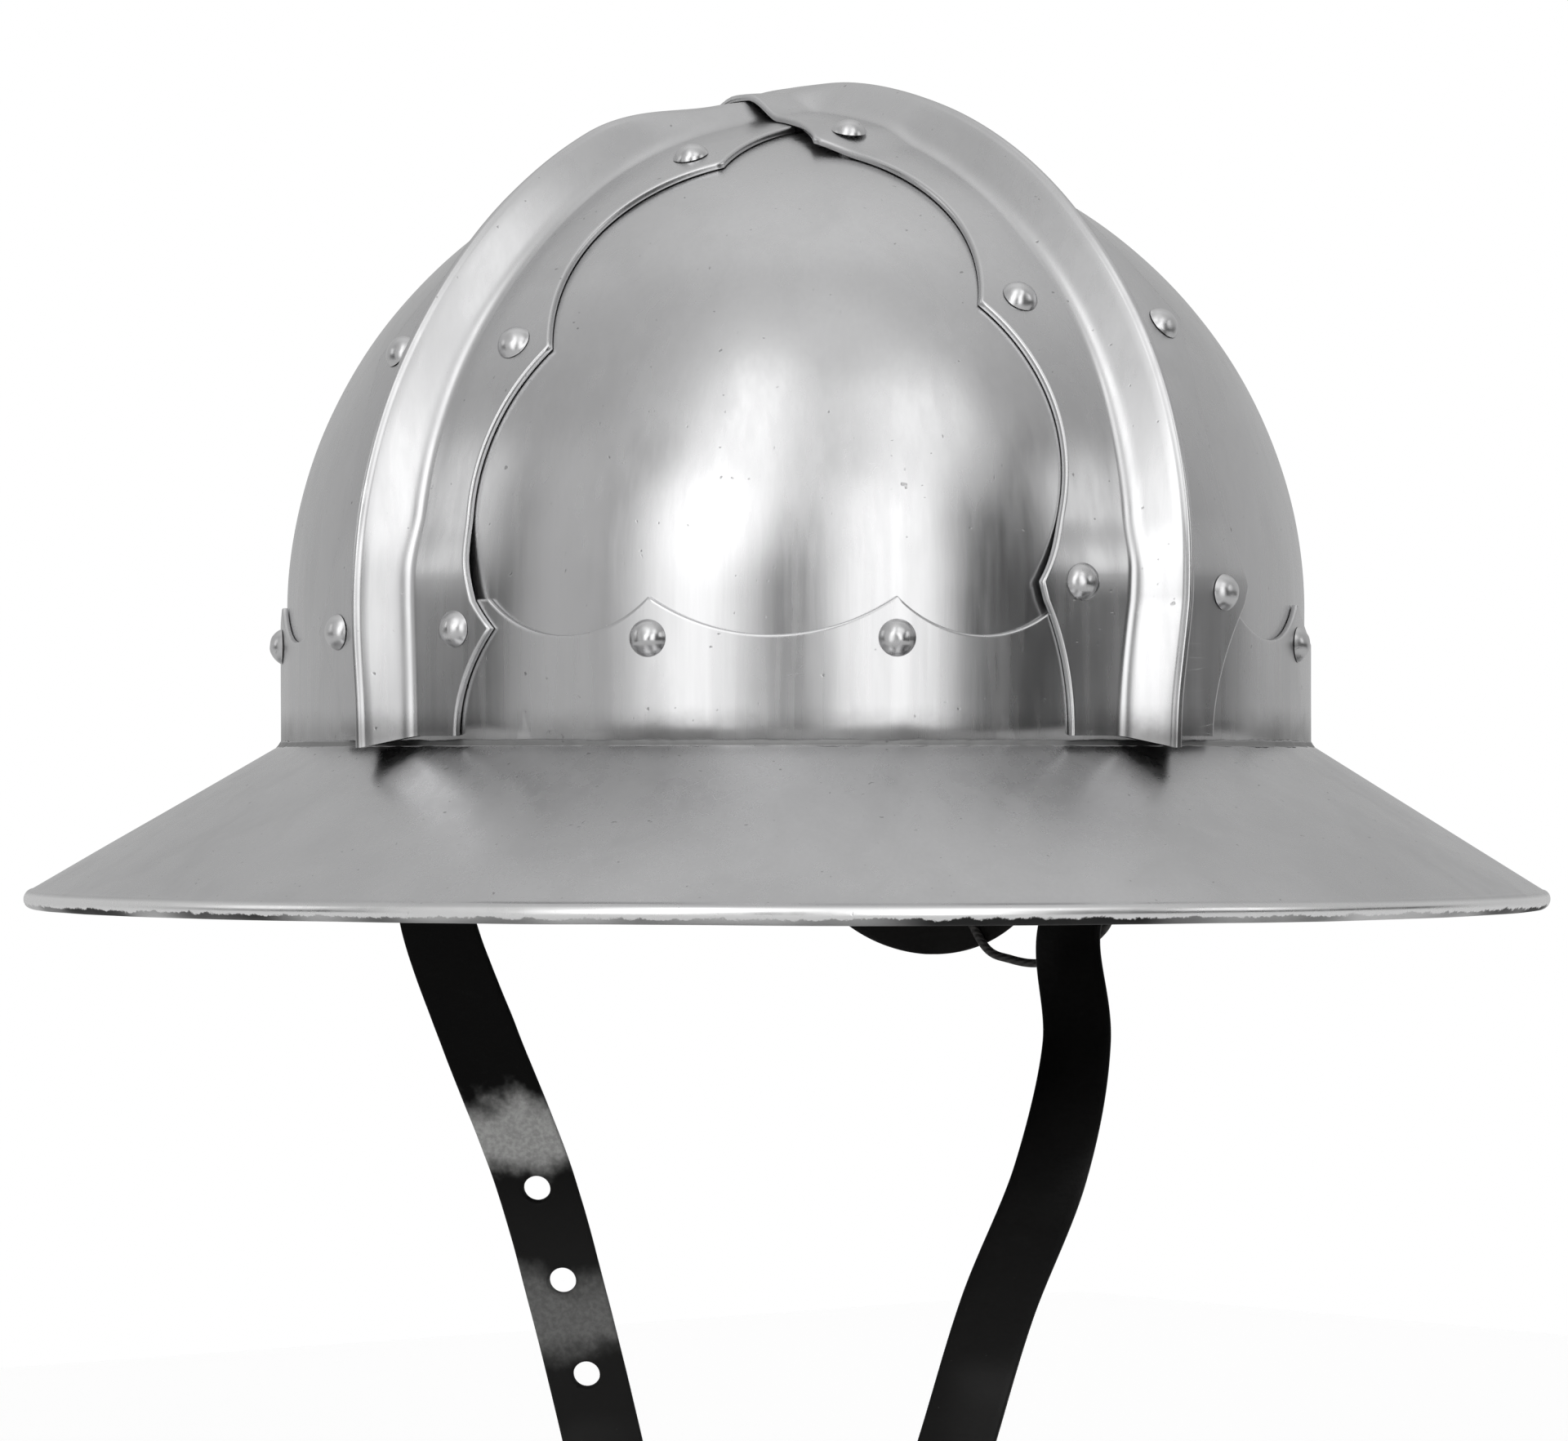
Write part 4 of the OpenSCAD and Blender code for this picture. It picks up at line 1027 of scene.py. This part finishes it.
def leather(name, tone, rough, grain=1.0, dust=0.3, shine=0.5, worn=(0.10, 0.095, 0.09), gloss=0.0,
            painted_highlights=()):
    """Black leather: fine pebble, creases, scuffs and rubbed lighter edges.

    The painted highlights are pale bands across a hanging strap, each (height, half, softness, tone).
    """
    s = surface(name)
    cloud = s.noise(24, 4)
    pebble = s.cells(900)
    pores = s.span(s.cells(1500), 0.0, 0.35)
    crease = s.noise(1.0, 4, s.stretch((60, 60, 260)), rough=0.65, warp=0.8)
    scuff = s.span(s.noise(120, 5, warp=1.2), 0.56, 0.72)
    scuffs = s.mul(scuff, s.span(s.noise(30, 3), 0.45, 0.65))
    base = s.blend(s.span(cloud, 0.3, 0.7), tinted(tone, 0.75), tinted(tone, 1.25))
    base = s.blend(s.mul(scuffs, dust), base, tinted(tone, 2.6, 0.01))
    base = s.blend(s.mul(s.wear(0.53, 0.62), 0.45), base, worn)
    if painted_highlights:
        x, _, z = s.axes(s.coord)
        right = s.span(x, -0.005, 0.005, 1.0, 0.0)
        # painted light and shade: the strap is lighter lower down and stays near black above, where it
        # hangs in the brim's shadow
        base = s.blend(s.span(z, -0.07, -0.125, 0.0, 0.5), base, tinted(tone, 3.0, 0.014))
        fleck = s.span(s.noise(420, 3), 0.70, 0.76, 0.0, 0.35)
        base = s.blend(s.mul(fleck, s.span(z, -0.10, -0.16)), base, (0.10, 0.10, 0.10))
        hair = s.span(s.noise(900, 4), 0.30, 0.72, 0.7, 1.0)
        # painted highlights: pale bands across the right strap where it bends, streaked by fine noise
        for at, half, soft, light in painted_highlights:
            here = s.mul(s.near(s.add(z, s.waver(90, 0.016)), at, half, soft), right)
            base = s.blend(s.mul(here, hair), base, (light, light, light * 0.98))
    rough = s.add(rough, s.mul(s.span(cloud, 0.25, 0.75), 0.12))
    rough = s.add(rough, s.mul(scuffs, 0.18))
    level = s.add(shine, s.mul(s.span(s.noise(17, 2), 0.52, 0.68), gloss)) if gloss else shine
    bumps = s.bump(((pebble, 0.25 * grain, 0.00012), (pores, 0.2 * grain, 0.00006),
                    (crease, 0.35 * grain, 0.00025), (scuffs, 0.3, 0.00008)))
    s.fill(s.shader, {"Base Color": base, "Roughness": rough, "Specular IOR Level": level, **bumps})
    return s.owner


def lace_material():
    """Waxed black lace with a twisted surface."""
    s = surface("lace")
    inputs = {"Scale": 420, "Distortion": 1.0, "Vector": s.coord}
    twist = s.new("ShaderNodeTexWave", inputs, wave_type="BANDS", bands_direction="DIAGONAL").outputs["Fac"]
    base = s.blend(twist, (0.012, 0.011, 0.010), (0.045, 0.042, 0.04))
    s.fill(s.shader, {"Base Color": base, "Roughness": 0.55, **s.bump([(twist, 0.5, 0.0002)])})
    return s.owner


PANEL = steel("panel_steel", (0.60, 0.60, 0.605), 0.195, grime=0.45)
BAND = steel("band_steel", (0.60, 0.60, 0.605), 0.215, scratches=0.4, joint_shade=0.75)
BRIM = steel("brim_steel", (0.57, 0.57, 0.575), 0.225, scratches=0.4, pits=0.8, rim=-0.0355)
RIVET = steel("rivet_steel", (0.64, 0.64, 0.645), 0.22, grime=0.4, scratches=0.2)
WELD = steel("weld_steel", (0.28, 0.28, 0.28), 0.42, grime=0.9, scratches=0.2, pits=1.0)
WIRE = steel("buckle_steel", (0.62, 0.62, 0.63), 0.22, grime=0.3, scratches=0.3)
STRAP = leather("strap_leather", (0.0035, 0.0034, 0.0033), 0.36, grain=0.8, dust=0.2,
                shine=0.05, worn=(0.02, 0.019, 0.018), gloss=0.2,
                painted_highlights=((-0.087, 0.003, 0.008, 0.42), (-0.129, 0.003, 0.009, 0.17)))
LINER = leather("liner_leather", (0.008, 0.0075, 0.007), 0.50, grain=1.2, shine=0.12)
LACE = lace_material()

# pieces: laces first
dense_lace = [curve_at(LACE_POINTS, x) for x in np.linspace(0, len(LACE_POINTS) - 1, 97)]
lace = lace_curve("hanging_lace", dense_lace, LACE_D / 2 * 0.97)
crown = lace_curve("crown_gathering_lace", crown_lace_points(), LACE_D / 2 * 0.95, cyclic=True)
for ob, node in ((lace, "lace_loop"), (crown, "crown_lace")):
    ob.data.materials.append(LACE)
    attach(ob, "hat")
    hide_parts(node)

# steel pieces
for way, name, node in ((0, "front_back_cross_band", "front_back_band"),
                        (1, "side_cross_band", "side_band")):
    add_mesh(name, band_form(way), BAND, "hat", [node])
for sx, sy, name in ((-1, -1, "panel_front_right"), (1, -1, "panel_front_left"),
                     (-1, 1, "panel_back_right"), (1, 1, "panel_back_left")):
    add_mesh("raised_" + name, panel_form(sx, sy), PANEL, "hat", [name])
add_mesh("scalloped_brow_band", brow_form(), BAND, "hat", ["brow_band"])
add_mesh("rolled_brim", brim_form(), BRIM, "hat", ["brim"])
add_mesh("dressed_weld", weld_form(), WELD, "hat", ["weld_bead"], sharp=0)
for name, form, node in (("hammered_front_back_rivets", band_rivets(0, 10), "front_back_rivets"),
                         ("hammered_side_rivets", band_rivets(1, 30), "side_rivets"),
                         ("hammered_brow_rivets", brow_rivets(60), "brow_rivets")):
    add_mesh(name, form, RIVET, "hat", [node], sharp=60)

# leather pieces
add_mesh("leather_liner_band", liner_form(), LINER, "hat", ["liner_band"])
add_mesh("leather_tongues", joined([tongue_form(i) for i in range(TONGUES)]), LINER, "hat",
         ["liner_tongues"])
add_mesh("liner_stitches", stitches(), LACE, "hat")
add_mesh("leather_tab", tab_form(), LINER, "hat", ["liner_tab"])

form, holes = right_strap()
ob = add_mesh("holed_strap", form, STRAP, "strap_with_holes", ["strap_right"])
cut(ob, joined([punched(*hole) for hole in holes] + [pin_cutter(-1)]))

ob = add_mesh("buckle_strap", left_strap(), STRAP, "strap_with_buckle", ["strap_left"])
slot_box = box_form(at_bar(0, 0, 0), BX, BY, BZ, SLOT_HALF, 8, 8)
rivet_hole = rod(at_bar(0, 0, FOLD_RIVET_Z), BY, FOLD_RIVET_R, 10)
cut(ob, joined([pin_cutter(1), slot_box, rivet_hole]))

add_mesh("sewn_keeper", keeper_form(), STRAP, "keeper", ["keeper_loop"])

# CAD pieces that stay
for material, nodes in ((RIVET, ("strap_pin_right", "strap_pin_left",
                                 "strap_washer_right", "strap_washer_left")),
                        (WIRE, ("buckle_frame", "buckle_prong", "buckle_rivet"))):
    for node in nodes:
        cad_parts[node].data.materials.clear()
        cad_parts[node].data.materials.append(material)

# stage
FLOOR_Z, FLOOR_HALF = -275.0, 1300.0


def make_floor():
    """A white floor below the straps; only the camera sees its glow."""
    h = FLOOR_HALF
    ob = loose("floor", [(-h, -h, FLOOR_Z), (h, -h, FLOOR_Z), (h, h, FLOOR_Z), (-h, h, FLOOR_Z)],
               [(0, 1, 2, 3)])
    s = Nodes(bpy.data.materials.new("floor_white"), empty=True)
    flat = s.new("ShaderNodeBsdfDiffuse", {"Color": (0.80, 0.80, 0.80, 1)})
    seen = s.new("ShaderNodeLightPath").outputs["Is Camera Ray"]
    glow = s.new("ShaderNodeEmission", {"Color": (1, 1, 1, 1), "Strength": s.mul(seen, 0.36)})
    both = s.new("ShaderNodeAddShader", {0: flat.outputs[0], 1: glow.outputs[0]})
    s.new("ShaderNodeOutputMaterial", {"Surface": both.outputs[0]})
    ob.data.materials.append(s.owner)


make_floor()

# azimuth from the camera's side (right is plus), half width, softness; the same in
# elevation; and power. Plus is a window, minus a dark screen; the last two light the back.
WINDOWS = (
    (-28, 6, 9, 9, 13, 15, 1.2),
    (-19, 7, 10, 37, 15, 18, 1.0),
    (16, 10, 7, 9, 13, 15, 1.25),
    (32, 10, 12, 41, 9, 12, 0.75),
    (-5, 36, 28, 58, 10, 20, 0.22),
    (-5, 20, 22, 18, 25, 18, 0.20),
    (-3, 4, 7, 5, 15, 10, -0.62),
    (47, 9, 11, 8, 18, 18, -0.38),
    (55, 20, 9, -14, 16, 4, -0.5),
    (98, 10, 12, -14, 16, 4, -0.42),
    (66, 6, 8, 19, 8, 6, 1.0),
    (-74, 4, 6, 4, 18, 10, -0.3),
    (-86, 6, 8, 18, 8, 7, 0.8),
    (-86, 10, 10, -14, 16, 5, -0.26),
    (-60, 4, 7, 12, 18, 12, 0.25),
    (180, 62, 34, 20, 60, 30, 0.13),
    (-180, 62, 34, 20, 60, 30, 0.13),
)


def make_world():
    """A plain studio: a soft grey room, brighter above, with its windows and screens."""
    world = bpy.data.worlds.new("studio")
    bpy.context.scene.world = world
    s = Nodes(world, empty=True)
    inputs = {"Vector": s.new("ShaderNodeTexCoord").outputs["Generated"], "Angle": -CAM_AZIMUTH}
    turned = s.new("ShaderNodeVectorRotate", inputs, rotation_type="Z_AXIS")
    x, y, z = s.axes(turned.outputs["Vector"])
    deg = 180 / math.pi
    azimuth = s.mul(s.math("ARCTAN2", x, s.mul(y, -1.0)), deg)
    rise = s.mul(s.math("ARCSINE", z), deg)
    total = s.span(rise, 20.0, 95.0, 0.43, 0.76)
    for az, az_half, az_soft, el, el_half, el_soft, power in WINDOWS:
        patch = s.mul(s.near(azimuth, az, az_half, az_soft), s.near(rise, el, el_half, el_soft))
        total = s.add(total, s.mul(patch, power))
    total = s.math("MAXIMUM", total, 0.03)
    seen = s.new("ShaderNodeLightPath").outputs["Is Camera Ray"]
    shade = s.new("ShaderNodeMix", {0: seen, 2: total, 3: 1.0}, data_type="FLOAT")
    back = s.new("ShaderNodeBackground", {"Color": (1, 1, 1, 1), "Strength": shade.outputs[0]})
    s.new("ShaderNodeOutputWorld", {"Surface": back.outputs[0]})


make_world()

bpy.context.scene.view_settings.view_transform = "Standard"
